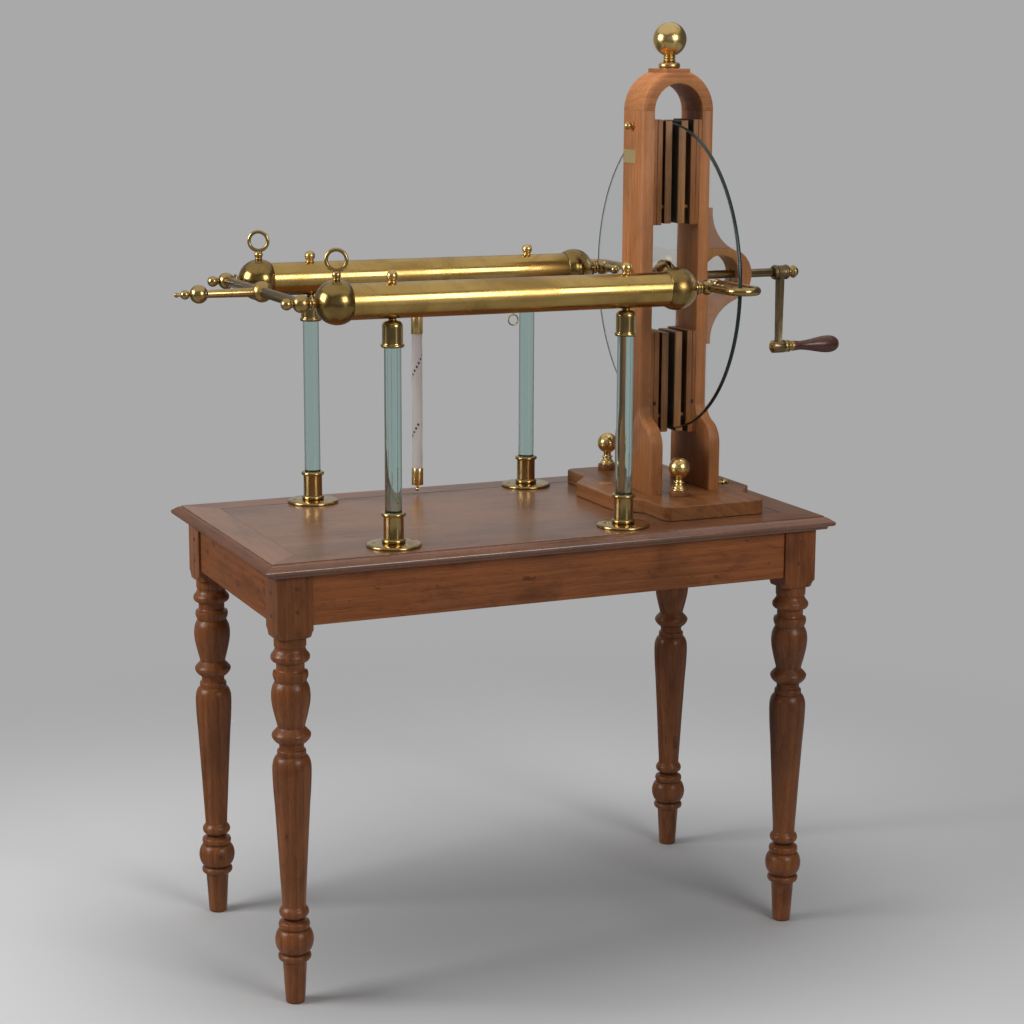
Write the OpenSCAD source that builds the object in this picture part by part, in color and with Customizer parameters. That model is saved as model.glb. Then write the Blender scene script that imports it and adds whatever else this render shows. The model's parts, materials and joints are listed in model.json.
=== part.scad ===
// Plate friction machine: a glass plate turned by a crank between sprung leather rubbers,
// with two brass conductors on glass columns, all standing on a turned-leg table.
// Millimetres, +Z up. The origin is on the floor under the middle of the whole object.
// Working places are measured from the middle of the table and shifted once, in placed().

/* [Table] */
// Height of the table top above the floor
table_h = 750; // [700:1:800]
// Length of the table top over its moulded edge
top_l = 1035; // [1000:1:1100]
// Width of the table top over its moulded edge
top_w = 553; // [540:1:580]
// Thickness of the table top
top_t = 23; // [20:0.5:30]
// Width of the boards that frame the table top
border_w = 70; // [50:1:90]
// How far the moulding stands out past the flat field
edge_out = 15.5; // [12:0.5:20]
// Distance between leg axes along the table
leg_span_x = 925; // [880:1:940]
// Distance between leg axes across the table
leg_span_y = 444; // [420:1:460]
// Side of the square block at the top of a leg
block_w = 60; // [54:1:66]
// Height of the square block
block_h = 104; // [95:1:120]
// Height of the apron rails
apron_h = 85; // [70:1:95]
// Thickness of the apron rails
apron_t = 22; // [16:1:28]
// Setback of the rails behind the faces of the blocks
apron_in = 4; // [2:0.5:8]
// Radius of the pegs that pin the rails
peg_r = 4; // [3:0.5:6]

/* [Columns] */
// Distance between columns along a conductor
col_span_x = 417; // [380:1:450]
// Distance between the two conductor axes
col_span_y = 404; // [390:1:420]
// Middle of the columns, along the table
column_mid_x = -68; // [-80:1:-60]
// Radius of the glass columns
glass_r = 14; // [12:0.5:15]
// Radius of the flange at the foot of a column
flange_r = 45; // [38:1:50]
// Height of the brass socket at the foot of a column
socket_h = 56; // [50:1:70]
// Height of the bell on top of a column
bell_h = 43; // [38:1:48]

/* [Conductors] */
// Height of the conductors and of the plate's axle
axis_h = 400; // [385:1:420]
// Outer radius of the conductor tubes
tube_r = 29; // [26:0.5:31]
// Wall of the conductor tubes
tube_wall = 2; // [1:0.5:4]
// Distance between the end ball centres
ball_span = 604; // [580:1:620]
// Radius of the end balls
ball_r = 36; // [34:0.5:40]
// Distance from an end ball to the crossbar
crossbar_out = 59; // [57:0.5:70]
// Radius of the crossbar
crossbar_r = 8.5; // [6:0.5:10]
// Distance from the crossbar to the ball of the discharge rod
discharge_out = 107; // [90:1:130]
// Radius of the jaw tubes
jaw_r = 7; // [5:0.5:8]
// Distance of the jaw tubes from the middle of the plate
jaw_off = 25; // [23:0.5:30]
// Distance from the plate to the end balls that carry the jaws
jaw_reach = 86; // [82:1:95]
// Length of the jaw arms, from the bend
jaw_arm = 122; // [100:1:130]
// Outer radius of the ring eyes
eye_r = 19.5; // [17:0.5:24]
// Turn of the ring eyes about the vertical
eye_turn = 25; // [0:5:90]

/* [Spark tube] */
// Place of the spark tube along the table
spark_x = -76; // [-120:1:0]
// Radius of the spark tube's glass
spark_r = 9.5; // [8:0.5:11]
// Radius of its brass ferrules
spark_ferrule_r = 10.6; // [9.6:0.1:14]
// Height of the ferrules
spark_ferrule_h = 31; // [25:1:40]

/* [Plate and frame] */
// Place of the plate along the table
plate_x = 320; // [310:1:330]
// Radius of the glass plate
plate_r = 270; // [250:1:275]
// Thickness of the glass plate
plate_t = 7; // [5:0.5:8]
// Half of the space between the uprights
bay = 47; // [46:0.5:52]
// Thickness of the uprights
upright_t = 23; // [20:0.5:28]
// Depth of the uprights
upright_w = 80; // [72:1:90]
// Rounding of the outer edges of the frame
edge_round = 8; // [4:0.5:10]
// Height of the straight uprights above the axle
upright_up = 291; // [285:1:310]
// How far the front foot flares out beyond the upright
foot_front = 50; // [40:1:60]
// How far the rear foot flares out beyond the upright
foot_rear = 18; // [14:1:40]
// Height of the straight part of the foot
foot_h = 82; // [60:1:110]
// Thickness of the base board
base_t = 25; // [20:1:30]
// Half width of the base board at its ends
base_end_w = 97; // [85:1:105]
// Half width of the base board at its middle
base_mid_w = 137; // [120:1:145]
// Half length of the base board
base_half_l = 204; // [180:1:215]
// Radius of the finial ball
finial_r = 30; // [24:0.5:32]
// Reach of the bow bracket from the upright
bow_out = 91; // [85:1:100]
// Depth of the bow bracket
bow_w = 50; // [44:1:60]

/* [Rubbers] */
// Length of a rubber
rubber_l = 182; // [160:1:190]
// Distance from the axle to the inner end of a rubber
rubber_in = 94; // [90:1:100]
// Thickness of the fixed backing boards
backing_t = 17; // [14:0.5:19]
// Width of the leaf spring gap at rest
spring_gap = 8; // [7:0.5:10]
// Width of the rubbers
rubber_w = 66; // [56:1:72]
// Thickness of the leather pad
pad_t = 5; // [4:0.5:7]
// Crown of the leather pad
pad_crown = 1.2; // [0.5:0.1:2]

/* [Crank] */
// Radius of the axle
axle_r = 7.5; // [6:0.5:9]
// Distance from the bow bracket to the crank arm
crank_gap = 74; // [60:1:90]
// Distance from the axle to the handle
crank_r = 136; // [110:1:160]
// Length of the wooden grip
grip_l = 94; // [80:1:110]
// Largest radius of the grip
grip_r = 15.8; // [13:0.2:19]

/* [Hidden] */
$fn = 64;

// Clearances: a running fit, a fixed fit, and two curved faces side by side
run_gap = 0.05;
fit_gap = 0.05;
face_gap = 0.3;

// Heights
under_top = table_h - top_t;
block_z = under_top - block_h;
axis_z = table_h + axis_h;
base_z = table_h + base_t;
seam_z = axis_z + upright_up;
arch_top_z = seam_z + bay + upright_t;
glass_sink = 24;
glass_z0 = table_h + socket_h - glass_sink;
bell_top_gap = 3;
bell_z1 = axis_z - tube_r - bell_top_gap;
bell_z0 = bell_z1 - bell_h;
glass_z1 = bell_z0 + glass_sink;

// Places along the table
col_x = [column_mid_x - col_span_x / 2, column_mid_x + col_span_x / 2];
row_y = col_span_y / 2;
ball_x1 = plate_x - jaw_reach;
ball_x0 = ball_x1 - ball_span;
crossbar_x = ball_x0 - crossbar_out;
discharge_x = crossbar_x - discharge_out;
upright_x = plate_x + bay + upright_t;
bow_x = upright_x + bow_out;
crank_x = bow_x + crank_gap;

// Discharge rod: balls and bead at its free end
rod_ball_r = 15.3;
rod_small_r = 7.9;
rod_bead_r = 4.1;
rod_small_out = 23.3;
rod_bead_out = 37.5;
tip_x = discharge_x - rod_bead_out - rod_bead_r;

// Crank and handle
boss_r = 13.5;
boss_half = 15;
arm_t = 9;
eye_boss_r = 11.5;
eye_half = 12;
spindle_r = 5;
collar_t = 6;
ferrule_t = 14;
ferrule_r = 9.5;
collar_x = crank_x + eye_half;
ferrule_x = collar_x + collar_t + face_gap;
grip_x = ferrule_x + ferrule_t;
grip_end_x = grip_x + grip_l;

// The whole object is shifted so that it is centred over the origin
mid_x = (tip_x + grip_end_x) / 2;

// Jaws
jaw_neck_x = plate_x - jaw_off;
jaw_bend_y = plate_r + 4;
jaw_joint_r = 13.5;

// Sockets and bells
socket_r = 16.7;
socket_rim_r = 20.5;
bell_r = 17;
bell_rim_r = 19.3;
bell_neck_r = 6.5;

// Ball cut where a tube enters
ball_cut = 20;
ball_wall = 2.5;

// Frame details
bush_r = 12;
bush_flange_r = 17;
bush_flange_t = 3;
cap_w = 46;
cap_d = 70;
cap_t = 7;
cap_sink = 5;
cap_z = arch_top_z - cap_sink;
flare_r1 = 30;
flare_r2 = 44;
foot_z = base_z + foot_h;
function flare_turn(out) = acos(1 - out / (flare_r1 + flare_r2));
function flare_top(out) = foot_z + (flare_r1 + flare_r2) * sin(flare_turn(out));
bow_half_h = 121;
bow_lip = 13;
bow_lip_h = 6;
bow_nose_r = 48;
bow_hole_r = 37;
bow_wall = 21;
bow_nose_x = bow_out - bow_nose_r;
bow_hole_x = bow_out - bow_wall - bow_hole_r;
bow_cusp_z = bow_half_h - bow_lip_h;
bow_cove_r = (pow(bow_lip - bow_nose_x, 2) + pow(bow_cusp_z, 2) - pow(bow_nose_r, 2))
    / (2 * (bow_nose_r - (bow_lip - bow_nose_x)));
hub_r = 30;
hub_t = 22;

// Clamp knobs that hold the base board to the table
clamp_x = plate_x - 25;
clamp_y = [-112, 174];
clamp_washer_r = 17;
clamp_washer_t = 10;
clamp_shank_r = 5;

// Rubber stack, from the plate outwards
pad_x = plate_t / 2 + face_gap;
board_x = pad_x + pad_t;
backing_x = bay - backing_t;
board_t = backing_x - spring_gap - board_x;
rubber_mid = rubber_in + rubber_l / 2;
pin_r = 3;
pin_y = 26;
pin_z = 60;
pin_depth = 12;
spring_w = 36;
spring_t = 1.2;
spring_l = 150;

brass = [0.72, 0.55, 0.26];
old_brass = [0.60, 0.47, 0.26];
frame_wood = [0.66, 0.44, 0.28];
apron_wood = [0.50, 0.30, 0.17];
leg_wood = [0.40, 0.23, 0.14];
top_wood = [0.48, 0.38, 0.33];
pale_glass = [0.62, 0.74, 0.70, 0.6];
leather = [0.22, 0.15, 0.10];

module placed() {
    translate([-mid_x, 0, 0]) children();
}

// Points the local +Z along +X
module along_x() {
    rotate([0, 90, 0]) children();
}

// Points the local +Z along +Y
module along_y() {
    rotate([-90, 0, 0]) children();
}

module cyl(z0, z1, r) {
    translate([0, 0, z0]) cylinder(h = z1 - z0, r = r);
}

module cone(z0, z1, r0, r1) {
    translate([0, 0, z0]) cylinder(h = z1 - z0, r1 = r0, r2 = r1);
}

module ball(z, r) {
    translate([0, 0, z]) sphere(r = r);
}

module bead(z, r, half) {
    translate([0, 0, z]) rotate_extrude() {
        translate([r - half, 0]) circle(r = half, $fn = 32);
        translate([0, -half]) square([r - half, 2 * half]);
    }
}

// Profile pieces for turned work, from the top down: [radius, height] points
function ease_curve(z1, r1, z0, r0, n = 8) = [for (i = [0:n]) let (s = (1 - cos(180 * i / n)) / 2)
    [r1 + (r0 - r1) * s, z1 + (z0 - z1) * i / n]];
function arc_curve(cx, cy, r, a0, a1, n = 8) = [for (i = [0:n]) let (a = a0 + (a1 - a0) * i / n)
    [cx + r * cos(a), cy + r * sin(a)]];

// Table

// Section of a border board: its tip is at x = 0, the board runs towards -x, its top is at y = 0
module edge_section() {
    step = 2;
    nose_r = 4.5;
    nose_y = -12.5;
    ovolo = edge_out - 2.5;
    polygon(concat(
        [[-border_w, 0], [-edge_out, 0], [-edge_out, -step]],
        [for (i = [0:6]) let (a = 90 * i / 6)
            [-edge_out + step + (ovolo - step) * sin(a), nose_y + nose_r
                + (-step - nose_y - nose_r) * cos(a)]],
        arc_curve(-nose_r, nose_y, nose_r, 60, -90, 8),
        [[-9, nose_y - nose_r], [-11, -top_t], [-border_w, -top_t]]));
}

module mitred_board(length, width) {
    intersection() {
        translate([0, -width / 2, table_h]) rotate([90, 0, -90])
            linear_extrude(height = length, center = true) edge_section();
        translate([0, 0, under_top - 1]) linear_extrude(height = top_t + 2)
            polygon([[-length / 2, -width / 2], [length / 2, -width / 2],
                [length / 2 - width / 2, 0], [-length / 2 + width / 2, 0]]);
    }
}

module table_top_border() {
    color(top_wood) placed() {
        for (turn = [0, 180]) {
            rotate([0, 0, turn]) mitred_board(top_l, top_w);
            rotate([0, 0, turn + 90]) mitred_board(top_w, top_l);
        }
    }
}

module table_top_panel() {
    color(top_wood) placed() difference() {
        translate([-top_l / 2 + border_w, -top_w / 2 + border_w, under_top])
            cube([top_l - 2 * border_w, top_w - 2 * border_w, top_t]);
        for (y = clamp_y) translate([clamp_x, y, 0])
            cyl(under_top - 1, table_h + 1, clamp_shank_r + run_gap);
    }
}

module apron_rail(length) {
    translate([-length / 2, -apron_t / 2, under_top - apron_h]) cube([length, apron_t, apron_h]);
}

module apron_rails_long() {
    y = leg_span_y / 2 + block_w / 2 - apron_in - apron_t / 2;
    color(apron_wood) placed() for (s = [-1, 1])
        translate([0, s * y, 0]) apron_rail(leg_span_x - block_w);
}

module apron_rails_short() {
    x = leg_span_x / 2 + block_w / 2 - apron_in - apron_t / 2;
    color(apron_wood) placed() for (s = [-1, 1])
        translate([s * x, 0, 0]) rotate([0, 0, 90]) apron_rail(leg_span_y - block_w);
}

// Turned part of a leg, measured up from the floor and scaled to the room under the block
function leg_z(z) = z * block_z / 623;
leg_neck = [[0, 623], [26, 623], [26, 607], [24.6, 605]];
leg_ring_a = [[25.4, 600.5], [28, 596.5], [31, 592.5], [31.8, 589], [31, 585], [28, 581.5], [24, 580], [22.8, 579]];
leg_ring_b = [[22.8, 567], [24, 566], [28, 564.5], [28.8, 560], [28, 554.5], [26, 549.5], [25.6, 547.5]];
leg_vase = [[27.5, 544.5], [30.2, 538], [31.6, 529], [31.8, 522], [31, 512], [29, 501], [26, 488], [23.4, 478],
    [22, 472]];
leg_ring_c = [[24.2, 469.4], [28.4, 465], [31.4, 461], [31.8, 458], [30.6, 454], [27, 449], [23, 445.5], [20.4, 443.5],
    [20, 442], [20, 435], [23, 433.5], [23.6, 431], [23.4, 426], [23.2, 424.5]];
leg_shaft = [[26.4, 422.5], [29.4, 417], [31.2, 410], [31.8, 402], [31.6, 388], [30.6, 366], [28.8, 342], [24.6, 268],
    [19.4, 168.5]];
leg_ring_d = [[20.4, 166], [23, 162.6], [24.5, 158.5], [24, 154], [21.6, 150.4], [18, 148.4], [17.2, 147], [17.2, 143.6],
    [20, 142.6], [24.6, 140.6], [25.8, 137], [25.4, 132.6], [24, 129.6], [23.4, 128.6]];
leg_ball = [[26.4, 126.6], [29.6, 121], [31.4, 114.4], [31.8, 109], [31, 102], [28.8, 95.4], [25.4, 90], [22.6, 87.6]];
leg_foot = [[24.4, 86], [26.8, 83.6], [27.3, 80.6], [26.4, 77], [23.6, 74.4], [21, 73.2], [20, 72], [16.2, 4],
    [15.4, 1.4], [13.4, 0], [0, 0]];
leg_curve = [for (p = concat(leg_neck, leg_ring_a, leg_ring_b, leg_vase, leg_ring_c, leg_shaft, leg_ring_d, leg_ball,
    leg_foot)) [p[0], leg_z(p[1])]];

peg_z = [22, 60];
peg_l = 12;
peg_proud = 0.6;

// The pegs of one leg, with their heads on its two outer faces
module leg_pegs(sx, sy, r) {
    for (z = peg_z) {
        translate([sx * (leg_span_x / 2 - 4), sy * (leg_span_y / 2 + block_w / 2 + peg_proud), under_top - z])
            along_y() cyl(sy > 0 ? -peg_l : 0, sy > 0 ? 0 : peg_l, r);
        translate([sx * (leg_span_x / 2 + block_w / 2 + peg_proud), sy * (leg_span_y / 2 - 4), under_top - z - 9])
            along_x() cyl(sx > 0 ? -peg_l : 0, sx > 0 ? 0 : peg_l, r);
    }
}

module leg(sx, sy) {
    color(leg_wood) placed() difference() {
        translate([sx * leg_span_x / 2, sy * leg_span_y / 2, 0]) {
            translate([-block_w / 2, -block_w / 2, block_z]) cube([block_w, block_w, block_h]);
            rotate_extrude() polygon(leg_curve);
        }
        leg_pegs(sx, sy, peg_r + fit_gap);
    }
}

module leg_front_left() leg(-1, -1);
module leg_front_right() leg(1, -1);
module leg_back_left() leg(-1, 1);
module leg_back_right() leg(1, 1);

module apron_pegs() {
    color(leg_wood) placed() for (sx = [-1, 1], sy = [-1, 1]) leg_pegs(sx, sy, peg_r);
}

// Columns

module column_glass(y) {
    color(pale_glass) placed() for (x = col_x)
        translate([x, y, 0]) cyl(glass_z0, glass_z1, glass_r);
}

module column_glass_front() column_glass(-row_y);
module column_glass_rear() column_glass(row_y);

module column_base() {
    flange_t = 5;
    ring_half = 3.2;
    rim_half = 3;
    difference() {
        union() {
            bead(flange_t / 2, flange_r, flange_t / 2);
            cone(flange_t - 0.5, flange_t + 2, flange_r - 8, socket_r + 3);
            bead(flange_t + 2 + ring_half, socket_r + 2.2, ring_half);
            cyl(0, socket_h - rim_half, socket_r);
            bead(socket_h - rim_half, socket_rim_r, rim_half);
        }
        cyl(socket_h - glass_sink, socket_h + 1, glass_r + fit_gap);
    }
}

module column_bases() {
    color(brass) placed() for (x = col_x, s = [-1, 1])
        translate([x, s * row_y, table_h]) column_base();
}

module conductor_cut(y, r) {
    translate([ball_x0, y, axis_z]) along_x() cyl(0, ball_span, r);
}

module column_cap() {
    rim_half = 2.5;
    shoulder = 9;
    difference() {
        union() {
            bead(rim_half, bell_rim_r, rim_half);
            cyl(rim_half, bell_h - shoulder, bell_r);
            translate([0, 0, bell_h - shoulder]) rotate_extrude() {
                intersection() {
                    translate([bell_r - shoulder, 0]) circle(r = shoulder);
                    square([bell_r, shoulder]);
                }
                square([bell_r - shoulder, shoulder]);
            }
            bead(bell_h + 1, bell_neck_r + 2, 2);
            cyl(bell_h - 1, bell_h + bell_top_gap + 4, bell_neck_r);
        }
        cyl(-1, glass_sink, glass_r + fit_gap);
    }
}

module column_caps() {
    color(old_brass) placed() for (s = [-1, 1]) difference() {
        for (x = col_x) translate([x, s * row_y, bell_z0]) column_cap();
        conductor_cut(s * row_y, tube_r + fit_gap);
    }
}

// Conductors

module conductor(y) {
    color(brass) placed() translate([0, y, axis_z]) along_x() difference() {
        cyl(ball_x0 + ball_cut, ball_x1 - ball_cut, tube_r);
        cyl(ball_x0, ball_x1, tube_r - tube_wall);
    }
}

module conductor_front() conductor(-row_y);
module conductor_rear() conductor(row_y);

// An end ball: a hollow shell, cut flat where the tube meets it, with a collar that fills the tube's end
module end_ball() {
    plug_l = 20;
    plug_wall = 4;
    plug_r = tube_r - tube_wall - fit_gap;
    difference() {
        union() {
            intersection() {
                sphere(r = ball_r);
                translate([-ball_cut, 0, 0]) along_x() cyl(0, ball_cut + ball_r, ball_r + 1);
            }
            translate([-ball_cut - plug_l, 0, 0]) along_x() cyl(0, plug_l + 1, plug_r);
        }
        intersection() {
            sphere(r = ball_r - ball_wall);
            translate([-ball_cut + ball_wall, 0, 0]) along_x() cyl(0, 2 * ball_r, ball_r);
        }
        translate([-ball_cut - plug_l - 1, 0, 0]) along_x() cyl(0, plug_l + 2 + ball_wall, plug_r - plug_wall);
    }
}

module conductor_balls() {
    color(brass) placed() for (s = [-1, 1]) {
        translate([ball_x1, s * row_y, axis_z]) end_ball();
        translate([ball_x0, s * row_y, axis_z]) mirror([1, 0, 0]) end_ball();
    }
}

module terminal_knobs() {
    knob_r = 9.2;
    neck_r = 5;
    color(brass) placed() for (s = [-1, 1]) difference() {
        for (x = col_x) translate([x, s * row_y, axis_z + tube_r]) {
            cyl(-3, knob_r, neck_r);
            ball(knob_r + 0.4, knob_r);
        }
        conductor_cut(s * row_y, tube_r + fit_gap);
    }
}

module ring_eye(y) {
    wire_r = 3.4;
    bulb_r = 7.4;
    neck_h = 2;
    bulb_z = ball_r + neck_h + bulb_r - 2;
    ring_z = bulb_z + bulb_r + eye_r - wire_r;
    color(brass) placed() translate([ball_x0, y, axis_z]) rotate([0, 0, -eye_turn]) difference() {
        union() {
            cyl(ball_r - 6, bulb_z, 4.5);
            bead(ball_r + 1.2, 6.4, 1.2);
            ball(bulb_z, bulb_r);
            translate([0, 0, ring_z]) rotate([90, 0, 0]) rotate_extrude()
                translate([eye_r - wire_r, 0]) circle(r = wire_r, $fn = 32);
        }
        sphere(r = ball_r + fit_gap);
    }
}

module ring_eye_front() ring_eye(-row_y);
module ring_eye_rear() ring_eye(row_y);

// A jaw: a flat U of tube round the rim of the plate, with points turned to the glass
module jaw(s) {
    tip_r = 8.5;
    point_l = 9;
    point_y = [36, 52, 98, 112];
    inner_y = jaw_bend_y - jaw_arm;
    color(brass) placed() translate([0, 0, axis_z]) difference() {
        union() {
            for (side = [-1, 1]) translate([plate_x + side * jaw_off, 0, 0]) {
                translate([0, s > 0 ? inner_y : -jaw_bend_y, 0]) along_y() cyl(0, jaw_arm, jaw_r);
                translate([0, s * inner_y, 0]) sphere(r = tip_r);
                for (y = point_y) translate([0, s * (inner_y + y - 18), 0])
                    rotate([0, -90 * side, 0]) cone(jaw_r - 1, jaw_r + point_l, 1.8, 0.4);
            }
            translate([plate_x, s * jaw_bend_y, 0]) rotate([0, 0, s > 0 ? 0 : 180])
                rotate_extrude(angle = 180) translate([jaw_off, 0]) circle(r = jaw_r);
            translate([0, s * row_y, 0]) along_x() {
                cyl(ball_x1 + ball_r - 6, jaw_neck_x, 7);
                bead(ball_x1 + ball_r + 3, 13, 2.5);
                bead(ball_x1 + ball_r + 9, 11, 2);
                ball(jaw_neck_x, jaw_joint_r);
            }
        }
        translate([ball_x1, s * row_y, 0]) sphere(r = ball_r + fit_gap);
    }
}

module jaw_front() jaw(-1);
module jaw_rear() jaw(1);

// Crossbar and discharge rod

joint_r = 14.5;
joint_bore = 18;
collar_ball_r = 17.5;
collar_flat = 15.5;

module crossbar() {
    color(old_brass) placed() translate([crossbar_x, 0, axis_z]) difference() {
        union() {
            along_y() cyl(-row_y, row_y, crossbar_r);
            rotate([0, -90, 0]) rotate_extrude() intersection() {
                circle(r = collar_ball_r);
                translate([0, -collar_ball_r]) square([collar_ball_r, collar_ball_r + collar_flat]);
            }
        }
        rotate([0, -90, 0]) cyl(rod_socket, collar_ball_r + 1, rod_r + fit_gap);
    }
}

// Ball joints that hold the ends of the crossbar, with a neck to the end ball
module crossbar_joints() {
    color(old_brass) placed() for (s = [-1, 1]) difference() {
        translate([crossbar_x, s * row_y, axis_z]) {
            sphere(r = joint_r);
            along_x() cyl(0, crossbar_out - ball_r + 8, 7);
            along_x() bead(joint_r + 2.5, 11.5, 2);
        }
        translate([ball_x0, s * row_y, axis_z]) sphere(r = ball_r + fit_gap);
        translate([crossbar_x, 0, axis_z]) along_y() cyl(-row_y - run_gap, row_y + run_gap, crossbar_r + fit_gap);
        translate([crossbar_x, s * row_y, axis_z]) rotate([0, -90, 0])
            cyl(crossbar_r, joint_r + 1, screw_r + fit_gap);
    }
}

screw_r = 3;
screw_ball_r = 9.4;
screw_out = 24;
rod_r = 6;
rod_root_r = 7.8;
rod_tip_r = 6.3;
rod_socket = 10;

module joint_screws() {
    color(brass) placed() for (s = [-1, 1]) translate([crossbar_x, s * row_y, axis_z]) rotate([0, -90, 0]) {
        cyl(crossbar_r + 1, screw_out, screw_r);
        bead(joint_r + 1.2, 6, 1);
        ball(screw_out, screw_ball_r);
    }
}

module discharge_rod() {
    color(old_brass) placed() translate([crossbar_x, 0, axis_z]) rotate([0, -90, 0]) {
        cyl(rod_socket + fit_gap, collar_flat + 4, rod_r);
        cone(collar_flat, discharge_out, rod_root_r, rod_tip_r);
        ball(discharge_out, rod_ball_r);
        cyl(discharge_out, discharge_out + rod_bead_out, 2.6);
        ball(discharge_out + rod_small_out, rod_small_r);
        ball(discharge_out + rod_bead_out, rod_bead_r);
    }
}

// Spark tube, hung from the rear conductor by a pin

spark_pin_z = axis_z - tube_r - 31;
spark_pin_r = 2.5;
lug_t = 6;
cheek_t = 3;
cheek_r = 8;
lug_r = 7;
spark_top_z = spark_pin_z - 16;
spark_tip_r = 4;
spark_tip_gap = 5;
spark_low_z = table_h + spark_tip_gap + 2 * spark_tip_r + 4;
spark_seat = 26;

module spark_hanger() {
    yoke_z = spark_pin_z + cheek_r + 2;
    wide = lug_t / 2 + face_gap + cheek_t;
    color(brass) placed() difference() {
        translate([spark_x, row_y, 0]) {
            cyl(yoke_z, axis_z - tube_r + 2, 4);
            cyl(yoke_z - 1, yoke_z + 4, wide + 1);
            for (s = [-1, 1]) translate([s * (wide - cheek_t / 2), 0, spark_pin_z]) along_x() {
                cyl(-cheek_t / 2, cheek_t / 2, cheek_r - 2);
                translate([-cheek_r - 2, -4, -cheek_t / 2]) cube([cheek_r + 2, 8, cheek_t]);
            }
            translate([0, 0, spark_pin_z]) along_x() cyl(-wide - 1.5, wide + 1.5, spark_pin_r);
        }
        conductor_cut(row_y, tube_r + fit_gap);
    }
}

module spark_ferrules() {
    color(brass) placed() translate([spark_x, row_y, 0]) {
        difference() {
            union() {
                cyl(spark_top_z - spark_ferrule_h, spark_top_z, spark_ferrule_r);
                cone(spark_top_z, spark_top_z + 5, spark_ferrule_r, 4);
                translate([0, 0, spark_pin_z]) along_x() cyl(-lug_t / 2, lug_t / 2, lug_r - 1);
                translate([-lug_t / 2, -3, spark_top_z]) cube([lug_t, 6, spark_pin_z - spark_top_z]);
            }
            translate([0, 0, spark_pin_z]) along_x() cyl(-lug_t, lug_t, spark_pin_r + run_gap);
            cyl(spark_top_z - spark_ferrule_h - 1, spark_top_z - spark_ferrule_h + spark_seat, spark_r + fit_gap);
        }
        difference() {
            union() {
                cyl(spark_low_z, spark_low_z + spark_ferrule_h, spark_ferrule_r);
                cyl(spark_low_z - 6, spark_low_z, 2.4);
                ball(spark_low_z - 4 - spark_tip_r, spark_tip_r);
            }
            cyl(spark_low_z + spark_ferrule_h - spark_seat, spark_low_z + spark_ferrule_h + 1, spark_r + fit_gap);
        }
    }
}

module spark_glass() {
    z0 = spark_low_z + spark_ferrule_h - spark_seat;
    z1 = spark_top_z - spark_ferrule_h + spark_seat;
    color(pale_glass) placed() translate([spark_x, row_y, 0]) difference() {
        cyl(z0, z1, spark_r);
        cyl(z0 + 3, z1 - 3, spark_r - 2);
    }
}

// A small wire ring on a stem under the rear conductor
module wire_ring() {
    wire_r = 1.2;
    ring_r = 9.5;
    ring_z = 61;
    x = col_x[1] - 27;
    color(old_brass) placed() difference() {
        translate([x, row_y, axis_z - tube_r]) {
            cyl(-ring_z + ring_r - wire_r, 2, wire_r);
            bead(-3, 4, 1.5);
            translate([0, 0, -ring_z]) rotate([90, 0, 0]) rotate_extrude()
                translate([ring_r, 0]) circle(r = wire_r, $fn = 24);
        }
        conductor_cut(row_y, tube_r + fit_gap);
    }
}

// Base board and clamp knobs

module base_board() {
    step_y0 = 72;
    step_y1 = 123;
    cant = 9;
    quarter = [[base_mid_w, step_y0], [base_end_w, step_y1],
        [base_end_w, base_half_l - cant], [base_end_w - cant, base_half_l]];
    outline = concat(
        quarter,
        [for (i = [3:-1:0]) [-quarter[i][0], quarter[i][1]]],
        [for (i = [0:3]) [-quarter[i][0], -quarter[i][1]]],
        [for (i = [3:-1:0]) [quarter[i][0], -quarter[i][1]]]);
    color(frame_wood) placed() difference() {
        translate([plate_x, 0, table_h]) linear_extrude(height = base_t) polygon(outline);
        for (y = clamp_y) translate([clamp_x, y, 0]) cyl(table_h - 1, base_z + 1, clamp_shank_r + run_gap);
    }
}

module clamp_washers() {
    color(leg_wood) placed() for (y = clamp_y) translate([clamp_x, y, 0]) difference() {
        cyl(base_z, base_z + clamp_washer_t, clamp_washer_r);
        cyl(base_z - 1, base_z + clamp_washer_t + 1, clamp_shank_r + run_gap);
    }
}

module clamp_knob(y) {
    knob_r = 16;
    z = base_z + clamp_washer_t;
    color(brass) placed() translate([clamp_x, y, 0]) {
        cyl(under_top + 4, z + 2, clamp_shank_r);
        bead(z + 2.5, 14, 2.5);
        cone(z + 4, z + 12, 11.5, 6.5);
        bead(z + 14, 9, 2.2);
        cyl(z + 12, z + 31, 6);
        ball(z + 26 + knob_r, knob_r);
    }
}

module clamp_knob_front() clamp_knob(clamp_y[0]);
module clamp_knob_rear() clamp_knob(clamp_y[1]);

// Frame

// Strip of board across its edge: x runs to the edge, y across the board, rounded at the outer face
module edge_strip(wide) {
    square([wide - edge_round, upright_t]);
    square([wide, upright_t - edge_round]);
    translate([wide - edge_round, upright_t - edge_round]) circle(r = edge_round);
}

// The same strip for a hollow curve: material lies outside the radius x = 0
module hollow_strip(wide) {
    translate([edge_round, 0]) square([wide - edge_round, upright_t]);
    square([wide, upright_t - edge_round]);
    translate([edge_round, upright_t - edge_round]) circle(r = edge_round);
}

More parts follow.
